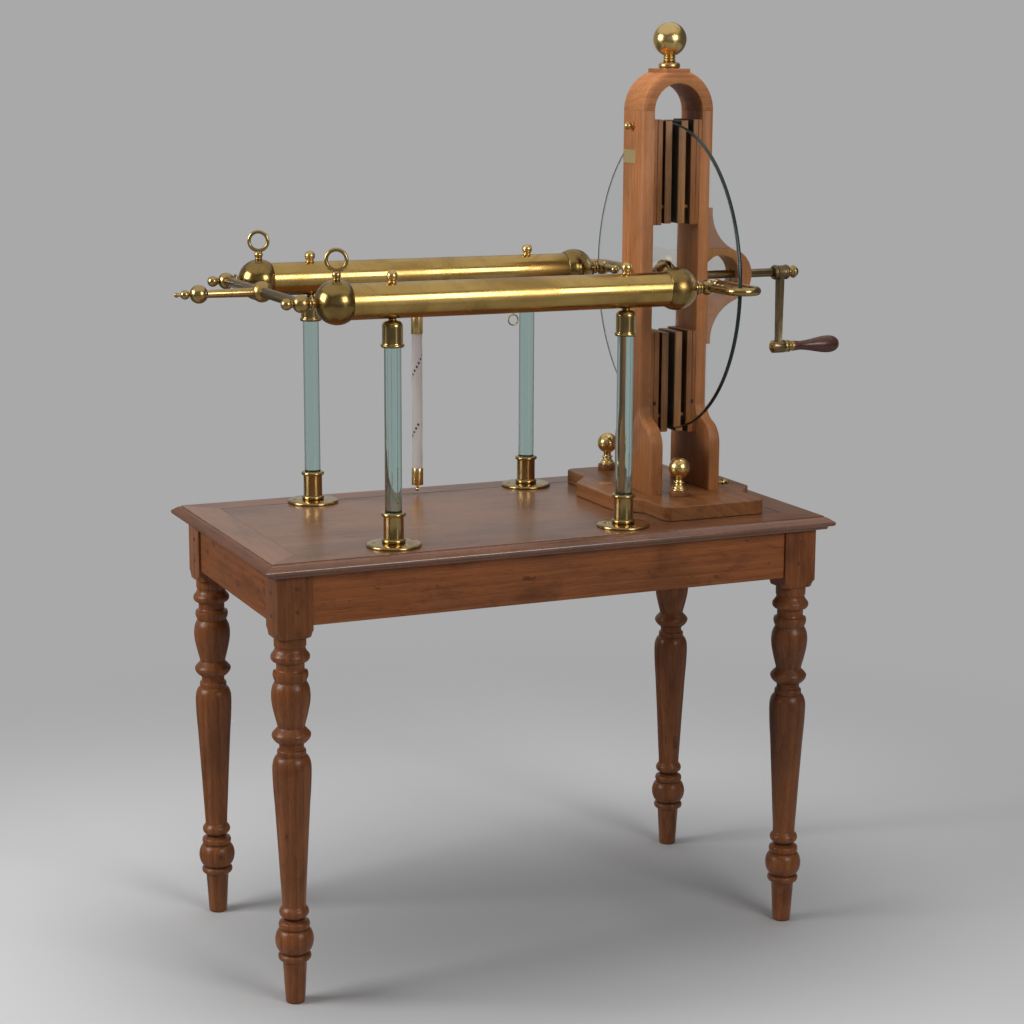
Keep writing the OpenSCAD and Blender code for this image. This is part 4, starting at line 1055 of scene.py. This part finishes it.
class MACHINE_OT_apron(bpy.types.Operator):
    """Models the apron rails and the heads of their pegs"""
    bl_idname = "machine.apron"
    bl_label = "Apron"

    def rails(self, node, finish_name, axis):
        """A pair of rails that face each other along an axis."""
        thick = 22 * MM
        low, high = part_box(node)
        inner_low, inner_high = low.copy(), high.copy()
        inner_high[axis] = low[axis] + thick
        inner_low[axis] = high[axis] - thick
        pair = [board(node + "_rail", a, b, sizes().soft_edge)
                for a, b in ((low, inner_high), (inner_low, high))]
        dress(joined(node + "_finished", pair), finish_name, "stand", "apron_wood", node)

    def execute(self, context):
        self.rails("apron_rails_long", "apron_x", 1)
        self.rails("apron_rails_short", "apron_y", 0)
        outline = [(0, -2.0), (3.9, -2.0), (3.9, -0.4), (3.5, 0.0), (2.0, 0.25), (0, 0.3)]
        inwards, face, stagger = 4, BLOCK_HALF + 0.6, 9
        heads = []
        for sx in (-1, 1):
            for sy in (-1, 1):
                for down in (22, 60):
                    z = APRON_TOP - down
                    place = at(sx * (LEG_X - inwards), sy * (LEG_Y + face), z)
                    heads.append(turned("peg", outline, place, "Y" if sy > 0 else "-Y", 20))
                    place = at(sx * (LEG_X + face), sy * (LEG_Y - inwards), z - stagger)
                    heads.append(turned("peg", outline, place, "X" if sx > 0 else "-X", 20))
        dress(joined("peg_heads", heads), "peg", "stand", "peg_wood", "apron_pegs")
        return {"FINISHED"}


class MACHINE_OT_legs(bpy.types.Operator):
    """Turns one leg, with its square block, and copies it to the four corners"""
    bl_idname = "machine.legs"
    bl_label = "Legs"

    def turning(self, place):
        """The turned part of a leg, from the floor up."""
        foot = [(0, 0), (13.4, 0), (15.4, 1.4), (16.2, 4), (20, 72), (21, 73.2), (23.6, 74.4),
                (26.4, 77), (27.3, 80.6), (26.8, 83.6), (24.4, 86)]
        ball = [(22.6, 87.6), (25.4, 90), (28.8, 95.4), (31, 102), (31.8, 109), (31.4, 114.4),
                (29.6, 121), (26.4, 126.6)]
        rings_low = [(23.4, 128.6), (24, 129.6), (25.4, 132.6), (25.8, 137), (24.6, 140.6), (20, 142.6),
                     (17.2, 143.6), (17.2, 147), (18, 148.4), (21.6, 150.4), (24, 154), (24.5, 158.5),
                     (23, 162.6), (20.4, 166)]
        shaft = [(19.4, 168.5), (22, 218), (24.6, 268), (26.8, 306), (28.8, 342), (30.6, 366),
                 (31.6, 388), (31.8, 402), (31.2, 410), (29.4, 417), (26.4, 422.5)]
        ring_mid = [(23.2, 424.5), (23.4, 426), (23.6, 431), (23, 433.5), (20, 435), (20, 442),
                    (20.4, 443.5), (23, 445.5), (27, 449), (30.6, 454), (31.8, 458), (31.4, 461),
                    (28.4, 465), (24.2, 469.4)]
        vase = [(22, 472), (23.4, 478), (26, 488), (29, 501), (31, 512), (31.8, 522), (31.6, 529),
                (30.2, 538), (27.5, 544.5)]
        rings_high = [(25.6, 547.5), (26, 549.5), (28, 554.5), (28.8, 560), (28, 564.5), (24, 566),
                      (22.8, 567), (22.8, 579), (24, 580), (28, 581.5), (31, 585), (31.8, 589),
                      (31, 592.5), (28, 596.5), (25.4, 600.5)]
        neck = [(24.6, 605), (26, 607), (26, 624), (0, 624)]
        outline = foot + ball + rings_low + shaft + ring_mid + vase + rings_high + neck
        return turned("leg", flowing(outline), place, "Z", 72, 50)

    def block(self, place):
        """The square block of a leg, cut at its foot as on a lathe."""
        low = BLOCK_FOOT
        piece = board("block", place + Vector((-BLOCK_HALF, -BLOCK_HALF, low)) * MM,
                      place + Vector((BLOCK_HALF, BLOCK_HALF, APRON_TOP)) * MM)
        outline = [(0, low - 23), (35.5, low - 23), (35.5, low), (36.4, low + 3.5), (38.6, low + 8),
                   (44, low + 14), (44, low + 137), (0, low + 137)]
        pommel = turned("pommel", outline, place, "Z", 72)
        cut = piece.modifiers.new("pommel", "BOOLEAN")
        cut.operation = "INTERSECT"
        cut.object = pommel
        only(piece)
        bpy.ops.object.modifier_apply(modifier=cut.name)
        bpy.data.objects.remove(pommel)
        soften(piece, 1.3 * MM, 3)
        return piece

    def execute(self, context):
        place = at(-LEG_X, -LEG_Y, 0)
        first = joined("leg_front_left_finished", [self.turning(place), self.block(place)])
        paint(first, "leg")
        for node, sx, sy, turn in (("leg_front_left", -1, -1, 0), ("leg_back_left", -1, 1, 270),
                                   ("leg_front_right", 1, -1, 90), ("leg_back_right", 1, 1, 180)):
            piece = first
            if turn:
                corner = Matrix.Translation(at(sx * LEG_X, sy * LEG_Y, 0))
                move = corner @ Matrix.Rotation(math.radians(turn), 4, "Z") @ Matrix.Translation(-place)
                piece = copied(first, node + "_finished", move)
            fit(piece, "stand", "leg_wood", node)
        return {"FINISHED"}


class MACHINE_OT_columns(bpy.types.Operator):
    """Models the glass columns with their brass sockets and bells"""
    bl_idname = "machine.columns"
    bl_label = "Columns"

    def rods(self, row, y):
        """The two glass rods of one row."""
        node = "column_glass_" + row
        low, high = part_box(node)
        foot, height, r, cut = low.z / MM, (high.z - low.z) / MM, COLUMN_R, 1.4
        outline = [(0, 0), (r - cut, 0), (r, cut), (r, height * 0.3), (r, height * 0.7), (r, height - cut),
                   (r - cut, height), (0, height)]
        places = [at(x, y, foot) for x in COLUMN_X]
        rod = turned("rod", outline, places[0], "Z", 64)
        dress(spread(node + "_finished", rod, places), "column_glass", "stand", "column_glass", node)

    def socket(self, place):
        """A brass socket with its flange and three screws."""
        outline = [(0, 0), (43.8, 0), (45, 0.9), (45.2, 2.4), (44.6, 3.9), (42.6, 4.9), (36, 5.1), (27, 5.4)]
        outline += [(21.4, 6.2)] + swell(6.4, 12.4, 17.4, 2.6) + [(16.9, 12.8), (16.7, 14.5), (16.6, 30)]
        outline += [(16.7, 48.2), (17, 49.4)]
        outline += swell(49.6, 55.6, 17.8, 2.6) + [(17, 56), (14.4, 56), (14.2, 55.4), (14.2, 34), (0, 34)]
        parts = [turned("socket", outline, place, "Z", 72, 42)]
        head = [(0, -1), (3.4, -1), (3.4, 0.2), (2.9, 0.7), (1.4, 1.1), (0, 1.2)]
        for x, y in arc(0, 0, 32.5, 40, 280, 2):
            parts.append(turned("screw", head, place + Vector((x, y, 5.2)) * MM, "Z", 16))
        return joined("socket", parts)

    def bell(self, place):
        """A brass bell that hides the top of a rod."""
        outline = [(14.2, 20), (14.2, 0.6), (14.6, 0), (18, 0)] + swell(0.2, 5.4, 17.2, 2.1)
        outline += [(17, 5.8), (16.9, 7), (17, 20), (16.9, 31)] + arc(7.6, 33.4, 9.3, 0, 84, 12)
        outline += [(7.2, 43), (6.6, 43.4)] + swell(43.6, 45.8, 5.8, 0.8, 6) + [(5, 46), (0, 46)]
        return turned("bell", outline, place, "Z", 72, 42)

    def execute(self, context):
        for row, y in ROWS:
            self.rods(row, y)
        for name, make, foot, node in (("column_sockets", self.socket, TABLE_TOP, "column_bases"),
                                       ("column_bells", self.bell, BELL_FOOT, "column_caps")):
            places = [at(x, y, foot) for x, y in COLUMNS]
            four = spread(name, make(places[0]), places)
            dress(four, "column_brass", "stand", "polished_brass", node)
        return {"FINISHED"}


class MACHINE_OT_conductors(bpy.types.Operator):
    """Models the conductor tubes, their end balls, terminal knobs, ring eyes and jaws"""
    bl_idname = "machine.conductors"
    bl_label = "Conductors"

    def tube(self, row, y):
        """A hollow brass tube."""
        length = TUBE_ENDS[1] - TUBE_ENDS[0]
        outline = [(26.6, 0), (28.5, 0), (29, 0.5)] + [(29, length * k / 6) for k in range(1, 6)]
        outline += [(29, length - 0.5), (28.5, length), (26.6, length)]
        tube = turned("conductor_tube_" + row, outline, at(TUBE_ENDS[0], y, AXIS), "X", 96)
        dress(tube, "conductor", "stand", "conductor_brass", "conductor_" + row)

    def balls(self):
        """The balls that close the tubes, with their plugs."""
        outline = [(0, -24), (26.8, -24), (26.8, -20), (29.3, -20), (29.8, -19.8)]
        outline += ball_arc(0, 36, -33, 90, 30)
        front = [turned("ball", outline, at(x, -ROW_Y, AXIS), axis, 80) for x, axis in zip(BALLS, ("-X", "X"))]
        over = Matrix.Translation((0, 2 * ROW_Y * MM, 0))
        balls = joined("conductor_end_balls", front + [copied(ball, "ball", over) for ball in front])
        dress(balls, "conductor_ball", "stand", "conductor_brass", "conductor_balls")

    def terminals(self):
        """The small knobs on the tubes, above the columns."""
        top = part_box("terminal_knobs")[1].z / MM
        outline = [(0, 0), (7.4, 0)] + swell(0.2, 3.4, 6, 1.6) + [(5, 3.8), (3.9, 5), (3.8, 6)]
        outline += ball_arc(top - TERMINAL_FOOT - 9.2, 9.2, -64, 90, 16)
        places = [at(x, y, TERMINAL_FOOT) for x, y in COLUMNS]
        knob = turned("terminal", outline, places[0], "Z", 40)
        dress(spread("terminals", knob, places), "polished", "stand", "polished_brass", "terminal_knobs")

    def ring_eye(self, name, y):
        """A ring on a turned stem, a little askew."""
        centre = at(BALLS[0], y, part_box("ring_eye_front")[1].z / MM - 19.5)
        ring = turned("ring", arc(16.3, 0, 3.1, 0, 360, 15), Vector(), "Y", 56)
        outline = [(0, -32.5), (6.2, -32.5)] + swell(-31.4, -28.8, 5.4, 1.0, 6)
        outline += ball_arc(-23.5, 7.4, -52, 90, 16)
        eye = joined(name, [ring, turned("stem", outline, Vector(), "Z", 32)])
        eye.data.transform(Matrix.Translation(centre) @ Matrix.Rotation(math.radians(-25), 4, "Z"))
        return eye

    def jaw(self, name, s):
        """A bent brass rod round the plate's rim, with its points and its neck; s is the side of its row."""
        inner, arm, reach = 152, 122, 25
        start()
        tip = at(PLATE_X - reach, s * inner, AXIS)
        bpy.ops.mesh.primitive_circle_add(vertices=28, radius=7 * MM, fill_type="NOTHING", location=tip,
                                          rotation=(math.pi / 2, 0, 0))
        tube = bpy.context.object
        settle(tube)
        edit(tube)
        extrude(0, s * arm * MM, 0)
        bend = at(PLATE_X, s * (inner + arm), AXIS)
        bpy.ops.mesh.spin(steps=28, angle=s * math.pi, center=bend, axis=(0, 0, 1))
        extrude(0, -s * arm * MM, 0)
        take_all()
        bpy.ops.mesh.remove_doubles(threshold=WELD)
        close(outwards=True)
        smooth(tube)
        parts = [tube]
        point = [(0, 5.6), (1.9, 5.6), (1.7, 7), (0.5, 15.6), (0, 16)]
        for side, axis in ((-1, "X"), (1, "-X")):
            x = PLATE_X + side * reach
            parts.append(turned("tip", ball_arc(0, 8.5, -90, 90, 16), at(x, s * inner, AXIS), "Y", 32))
            for y in (18, 34, 80, 94):
                parts.append(turned("point", point, at(x, s * (inner + y), AXIS), axis, 12))
        neck = [(0, 33), (9.5, 33.4)] + swell(36.5, 41.5, 10.2, 2.8) + [(9.4, 42.2)] + swell(43, 47, 8.8, 2.2)
        neck += [(7.2, 47.6), (7, 50)] + ball_arc(61, 13.5, -57, 90, 18)
        parts.append(turned("neck", neck, at(BALLS[1], s * ROW_Y, AXIS), "X", 48))
        return joined(name, parts)

    def execute(self, context):
        for row, y in ROWS:
            self.tube(row, y)
        self.balls()
        self.terminals()
        for row, y in ROWS:
            eye = self.ring_eye("ring_eye_%s_finished" % row, y)
            dress(eye, "aged", "stand", "aged_brass", "ring_eye_" + row)
            jaw = self.jaw("jaw_%s_finished" % row, math.copysign(1, y))
            dress(jaw, "column_brass", "stand", "polished_brass", "jaw_" + row)
        return {"FINISHED"}


class MACHINE_OT_fittings(bpy.types.Operator):
    """Softens the small brass and wooden fittings and turns the knobs and the finial"""
    bl_idname = "machine.fittings"
    bl_label = "Fittings"

    def springs(self):
        """Parts the leaf springs into one piece each, named by its level and side."""
        edit(softened("leaf_springs", 0.2, "aged"))
        bpy.ops.mesh.separate(type="LOOSE")
        close()
        for spring in list(bpy.context.selected_objects):
            ends = [v.co.x for v in spring.data.vertices]
            low, high = min(ends), max(ends)
            left = high < PLATE.x
            level = "upper" if spring.data.vertices[0].co.z > PLATE.z else "lower"
            tail = "%s_%s" % (level, "left" if left else "right")
            spring.name = "leaf_spring_%s_finished" % tail
            fit(spring, "stand", "spring_brass", "leaf_springs")
            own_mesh(spring)

    def clamp(self, row):
        """A ball knob that holds the frame on the table."""
        outline = [(0, 0), (13.4, 0), (14, 1.2), (13.4, 2.8), (12, 4)] + ease(4.2, 11.4, 11.6, 7.6, 8)
        outline += swell(12, 15.8, 7.4, 2.6) + [(6.9, 16.6), (6.6, 18.6), (6.8, 21)]
        outline += ball_arc(39.8, 18.6, -68, 90, 26)
        node = "clamp_knob_" + row
        spot = middle(node)
        spot.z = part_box(node)[1].z - 58 * MM
        knob = turned("clamp_%s_finished" % row, outline, spot, "Z", 56)
        dress(knob, "polished", BODY_OF[node], "polished_brass", node)

    def finial(self):
        """The ball on the cap of the arch."""
        outline = [(0, 0), (16.6, 0)] + swell(0.2, 9.4, 16.6, 2.4, 12) + ease(9.7, 16, 12.4, 9.8, 5)
        outline += swell(12.8, 16.2, 9.4, 1.5) + [(8.8, 16.7)] + swell(17.2, 21, 9, 1.8)
        outline += ball_arc(50, 29.4, -70, 90, 32)
        spot = middle("arch_cap")
        spot.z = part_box("arch_cap")[1].z
        ball = turned("finial_finished", outline, spot, "Z", 72)
        dress(ball, "polished", "stand", "polished_brass", "finial")

    def execute(self, context):
        for node, width, finish_name in (
                ("crossbar_joints", 0.4, "aged"), ("joint_screws", 0.3, "aged"),
                ("discharge_rod", 0.3, "aged"), ("spark_hanger", 0.4, "aged"),
                ("spark_ferrules", 0.5, "polished"), ("wire_ring", 0.2, "aged"),
                ("axle_bushes", 0.5, "old"), ("upright_knob", 0.3, "polished"),
                ("earth_stud", 0.3, "aged"), ("hub_flanges", 0.8, "aged"), ("axle", 0.5, "axle"),
                ("crank_arm", 0.9, "crank"), ("crank_nut", 0.4, "aged"), ("handle_spindle", 0.4, "aged"),
                ("grip_ferrule", 0.5, "aged")):
            softened(node, width, finish_name)
        self.springs()
        bar = softened("crossbar", 0.5, "bar")
        bar.data.materials.append(finish("aged"))
        mark(bar, lambda face: abs(face.center.y) < 18 * MM)
        softened("clamp_washers", 1.2, "base", 3)
        for row, _ in ROWS:
            self.clamp(row)
        self.finial()
        return {"FINISHED"}


class MACHINE_OT_spark_tube(bpy.types.Operator):
    """Models the hollow glass of the spark tube and the spiral row of foil lozenges on it"""
    bl_idname = "machine.spark_tube"
    bl_label = "Spark tube"

    def lozenge(self, radius):
        """One lozenge of foil, bent round the tube."""
        start()
        bpy.ops.mesh.primitive_plane_add(size=sizes().foil_size / math.sqrt(2))
        piece = bpy.context.object
        edit(piece)
        bpy.ops.mesh.subdivide(number_cuts=2)
        take_all()
        extrude(0, 0, 0.08 * MM)
        close(outwards=True)
        piece.data.transform(Matrix.Diagonal((1, 1.25, 1, 1)) @ Matrix.Rotation(math.radians(45), 4, "Z"))
        for v in piece.data.vertices:
            turn, out = v.co.x / radius, radius + v.co.z
            v.co = Vector((out * math.sin(turn), v.co.y, out * math.cos(turn) - radius))
        return piece

    def foils(self, radius):
        """The spiral row: it shows above the middle of the tube and near its foot, and is worn off between."""
        top, foot, step = 1026, 850, 7
        facing, facing_at = math.radians(246.1), 984
        lozenge = self.lozenge(radius)
        row = []
        for z in range(top, foot, -step):
            if z > 950 or 855 < z < 881:
                turn = facing + 2 * math.pi * (z - facing_at) * MM / sizes().foil_pitch
                sideways = Vector((-math.sin(turn), math.cos(turn), 0))
                outwards = Vector((math.cos(turn), math.sin(turn), 0))
                matrix = Matrix((sideways, Vector((0, 0, 1)), outwards)).transposed().to_4x4()
                matrix.translation = at(SPARK_X, ROW_Y, z) + outwards * radius
                row.append(copied(lozenge, "foil", matrix))
        bpy.data.objects.remove(lozenge)
        return joined("foil_lozenges", row)

    def execute(self, context):
        low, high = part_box("spark_glass")
        height, bore, r, cut = (high.z - low.z) / MM, 7.6, 9.5, 0.4
        outline = [(bore, 0), (r - cut, 0), (r, cut), (r, height / 2), (r, height - cut), (r - cut, height),
                   (bore, height), (bore, height / 2), (bore, 0)]
        tube = turned("spark_glass_finished", outline, at(SPARK_X, ROW_Y, low.z / MM), "Z", 48)
        dress(tube, "spark_glass", BODY_OF["spark_glass"], "spark_glass", "spark_glass")
        dress(self.foils((r + 0.05) * MM), "foil", BODY_OF["spark_glass"], "spark_glass")
        return {"FINISHED"}


class MACHINE_OT_frame_wood(bpy.types.Operator):
    """Models the base board and softens the uprights, the arch, its cap and the bow bracket"""
    bl_idname = "machine.frame_wood"
    bl_label = "Wooden frame"

    def base(self):
        """The base board with its canted corners, and the plug beside the left upright."""
        low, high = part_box("base_board")
        size, spot = (high - low) / MM, (low + high) / 2
        spot.z = low.z
        middle_half, end_half, half, cant = size.x / 2, 97, size.y / 2, 9
        quarter = [(middle_half, 72), (end_half, 123), (end_half, half - cant), (end_half - cant, half)]
        outline = quarter + [(-x, y) for x, y in reversed(quarter)]
        outline += [(-x, -y) for x, y in quarter] + [(x, -y) for x, y in reversed(quarter)]
        base = planked("base_finished", outline, size.z, Matrix.Translation(spot), 2.0 * MM, 4)
        dress(base, "base", "stand", "base_wood", "base_board")
        outline = [(0, -1), (13.5, -1), (13.5, 0.1), (12.9, 0.5), (8, 0.7), (0, 0.75)]
        plug = turned("base_plug", outline, at(228, 43, high.z / MM), "Z", 40)
        dress(plug, "plug", "stand", "base_wood")

    def mortices(self):
        """Dark blocks on the front ends of the lower backing boards, painted shade that stands for the small
        slots there.
        """
        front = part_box("backing_boards")[0].y / MM
        holes = []
        for x in (282, 362):
            low, high = at(x - 2.8, front - 0.15, 929 - 3.4), at(x + 2.8, front + 4, 929 + 3.4)
            holes.append(board("mortice", low, high, 0.3 * MM))
        dress(joined("backing_mortices", holes), "hole", "stand", "dark_wood")

    def execute(self, context):
        soft = sizes().soft_edge / MM
        for node, width, finish_name in (
                ("upright_left", soft, "frame"), ("upright_right", soft, "frame_right"),
                ("arch", soft, "frame_arch"), ("arch_cap", 1.2, "frame_along"),
                ("bow_bracket", 2.2, "frame_bow")):
            softened(node, width, finish_name, 3)
        backing = softened("backing_boards", 0.8, "backing")
        # painted shade on the backing faces turned towards the plate
        paint_shade_between_boards(backing, lambda face: face.normal.x * math.copysign(1, PLATE.x - face.center.x) > 0.9)
        self.base()
        self.mortices()
        return {"FINISHED"}


class MACHINE_OT_label(bpy.types.Operator):
    """Models the bare brass label and its pins on the left upright"""
    bl_idname = "machine.label"
    bl_label = "Brass label"

    def execute(self, context):
        wide, high = sizes().label_width, sizes().label_height
        spot = Vector((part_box("upright_left")[0].x, 8 * MM, 1362 * MM))
        start()
        bpy.ops.mesh.primitive_cube_add(size=1, location=spot - Vector((0.4 * MM, 0, 0)))
        plate = context.object
        plate.scale = (1.0 * MM, wide, high)
        settle(plate)
        edit(plate)
        bpy.ops.mesh.select_all(action="DESELECT")
        mesh = bmesh.from_edit_mesh(plate.data)
        for face in mesh.faces:
            face.select = face.normal.x < -0.9
        bmesh.update_edit_mesh(plate.data)
        for width, depth in ((2.0, 0), (0.5, -0.25), (0.5, 0.25)):
            bpy.ops.mesh.inset(thickness=width * MM, depth=depth * MM)
        close()
        soften(plate, 0.2 * MM, 2)
        outline = [(0, -0.4), (0.8, -0.4), (0.8, 0.2), (0.5, 0.5), (0, 0.6)]
        inset = 1.1 * MM
        parts = [plate]
        for sy in (-1, 1):
            for sz in (-1, 1):
                place = spot + Vector((-0.9 * MM, sy * (wide / 2 - inset), sz * (high / 2 - inset)))
                parts.append(turned("pin", outline, place, "-X", 12))
        dress(joined("brass_label", parts), "label", "stand", "aged_brass")
        return {"FINISHED"}


class MACHINE_OT_rubbers(bpy.types.Operator):
    """Softens the rubber boards and makes the stuffed leather pads by a cloth simulation"""
    bl_idname = "machine.rubbers"
    bl_label = "Rubbers"

    def stuff(self, piece):
        """Blows up the free side of a pad by a cloth simulation."""
        frames = 20
        cloth = piece.modifiers.new("stuffing", "CLOTH")
        cloth.settings.vertex_group_mass = "held"
        cloth.settings.use_pressure = True
        cloth.settings.uniform_pressure_force = 6.0
        cloth.settings.tension_stiffness = 6.0
        cloth.settings.compression_stiffness = 6.0
        cloth.settings.bending_stiffness = 1.5
        cloth.settings.effector_weights.gravity = 0.0
        cloth.point_cache.frame_start = 1
        cloth.point_cache.frame_end = frames
        for f in range(1, frames + 1):
            bpy.context.scene.frame_set(f)
        only(piece)
        bpy.ops.object.modifier_apply(modifier=cloth.name)
        bpy.context.scene.frame_set(1)

    def pad(self, low, high):
        """One stuffed pad between two corners, with its face towards -X, simulated at ten times its size."""
        grow = 10.0
        start()
        bpy.ops.mesh.primitive_cube_add(size=1, location=(0, 0, 0))
        piece = bpy.context.object
        size = high - low
        piece.scale = Vector((size.x * 0.55, size.y * 0.97, size.z * 0.985)) * grow
        settle(piece)
        edit(piece)
        for axis, cuts in ((2, range(-10, 11)), (1, range(-4, 5))):
            normal = [float(i == axis) for i in range(3)]
            for k in cuts:
                take_all()
                place = Vector(normal) * (k * size[axis] * grow / (len(cuts) + 1))
                bpy.ops.mesh.bisect(plane_co=place, plane_no=normal)
        close()
        back = piece.vertex_groups.new(name="held")
        back.add([v.index for v in piece.data.vertices if v.co.x > 0], 1.0, "REPLACE")
        self.stuff(piece)
        edit(piece)
        bpy.ops.mesh.subdivide(number_cuts=1, smoothness=0.6)
        close()
        points = [v.co.copy() for v in piece.data.vertices]
        least = [min(p[i] for p in points) for i in range(3)]
        most = [max(p[i] for p in points) for i in range(3)]
        for v in piece.data.vertices:
            v.co = [low[i] + (v.co[i] - least[i]) / (most[i] - least[i]) * size[i] for i in range(3)]
        piece.vertex_groups.clear()
        smooth(piece, 60)
        return piece

    def execute(self, context):
        inset = Vector((0.05, 0.3, 0.3)) * MM
        low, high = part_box("rubber_pad_upper_right")
        source, centre = self.pad(low + inset, high - inset), (low + high) / 2
        for level in ("upper", "lower"):
            for side, away in (("left", -1), ("right", 1)):
                tail = level + "_" + side
                wood_board = softened("rubber_board_" + tail, 0.7, "rubber_board")
                # painted shade on the board faces turned away from the plate
                paint_shade_between_boards(wood_board, lambda face: face.normal.x * away > 0.9)
                node = "rubber_pad_" + tail
                move = Matrix.Translation(middle(node)) @ Matrix.Diagonal((away, 1, 1, 1))
                piece = copied(source, "leather_pad_" + tail, move @ Matrix.Translation(-centre))
                dress(piece, "leather", BODY_OF[node], "leather", node)
        bpy.data.objects.remove(source)
        return {"FINISHED"}


class MACHINE_OT_rotor(bpy.types.Operator):
    """Turns the glass plate with its ground rim, and the wooden grip"""
    bl_idname = "machine.rotor"
    bl_label = "Plate and grip"

    def execute(self, context):
        r, t = PLATE_R / MM, extent("glass_plate").x / MM / 2
        half = [(8.6, -t), (10, -t), (60, -t), (r - 3, -t), (r - 1.6, -t), (r - 0.6, -t + 0.5), (r, -t + 1.6)]
        outline = half + [(radius, -z) for radius, z in reversed(half)] + half[:1]
        plate = turned("plate_finished", outline, PLATE, "X", 128)
        paint(plate, "plate_glass", "rim")
        mark(plate, lambda face: (face.center - PLATE).yz.length > PLATE_R - 1.55 * MM)
        fit(plate, "rotor", "plate_glass", "glass_plate")
        outline = [(0, 0), (8.4, 0), (9, 0.8), (9.2, 2.4), (8.8, 4.4), (8.3, 9), (8.2, 14), (8.7, 21),
                   (10.1, 32), (12.4, 45), (14.5, 57), (15.6, 67), (15.7, 74), (15, 81), (13, 87),
                   (9.6, 91.4), (5, 93.6), (0, 94)]
        spot = middle("handle_grip")
        spot.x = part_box("handle_grip")[0].x
        dress(turned("grip_finished", outline, spot, "X", 56), "grip", "grip", "grip_wood", "handle_grip")
        return {"FINISHED"}


class MACHINE_PT_panel(bpy.types.Panel):
    """Lists the steps in the order they run"""
    bl_label = "Friction machine"
    bl_idname = "MACHINE_PT_panel"
    bl_space_type = "VIEW_3D"
    bl_region_type = "UI"
    bl_category = "Machine"

    def draw(self, context):
        for group in (context.scene.machine_sizes, context.scene.machine_colours):
            box = self.layout.box()
            for name in group.__annotations__:
                box.prop(group, name)
        for step in STEPS:
            self.layout.operator(step.bl_idname)


STEPS = (MACHINE_OT_stage, MACHINE_OT_frame_finishes, MACHINE_OT_table_top, MACHINE_OT_apron, MACHINE_OT_legs,
         MACHINE_OT_columns, MACHINE_OT_conductors, MACHINE_OT_fittings, MACHINE_OT_spark_tube,
         MACHINE_OT_frame_wood, MACHINE_OT_label, MACHINE_OT_rubbers, MACHINE_OT_rotor)
CLASSES = (MachineSizes, MachineColours) + STEPS + (MACHINE_PT_panel,)


def register():
    """Registers the classes and puts the settings on the scene."""
    for cls in CLASSES:
        bpy.utils.register_class(cls)
    bpy.types.Scene.machine_sizes = PointerProperty(type=MachineSizes)
    bpy.types.Scene.machine_colours = PointerProperty(type=MachineColours)


def unregister():
    """Takes back what register did."""
    del bpy.types.Scene.machine_colours
    del bpy.types.Scene.machine_sizes
    for cls in reversed(CLASSES):
        bpy.utils.unregister_class(cls)


def main():
    """Runs the steps in order."""
    register()
    bpy.ops.machine.stage()
    bpy.ops.machine.frame_finishes()
    bpy.ops.machine.table_top()
    bpy.ops.machine.apron()
    bpy.ops.machine.legs()
    bpy.ops.machine.columns()
    bpy.ops.machine.conductors()
    bpy.ops.machine.fittings()
    bpy.ops.machine.spark_tube()
    bpy.ops.machine.frame_wood()
    bpy.ops.machine.label()
    bpy.ops.machine.rubbers()
    bpy.ops.machine.rotor()


if __name__ == "__main__":
    main()
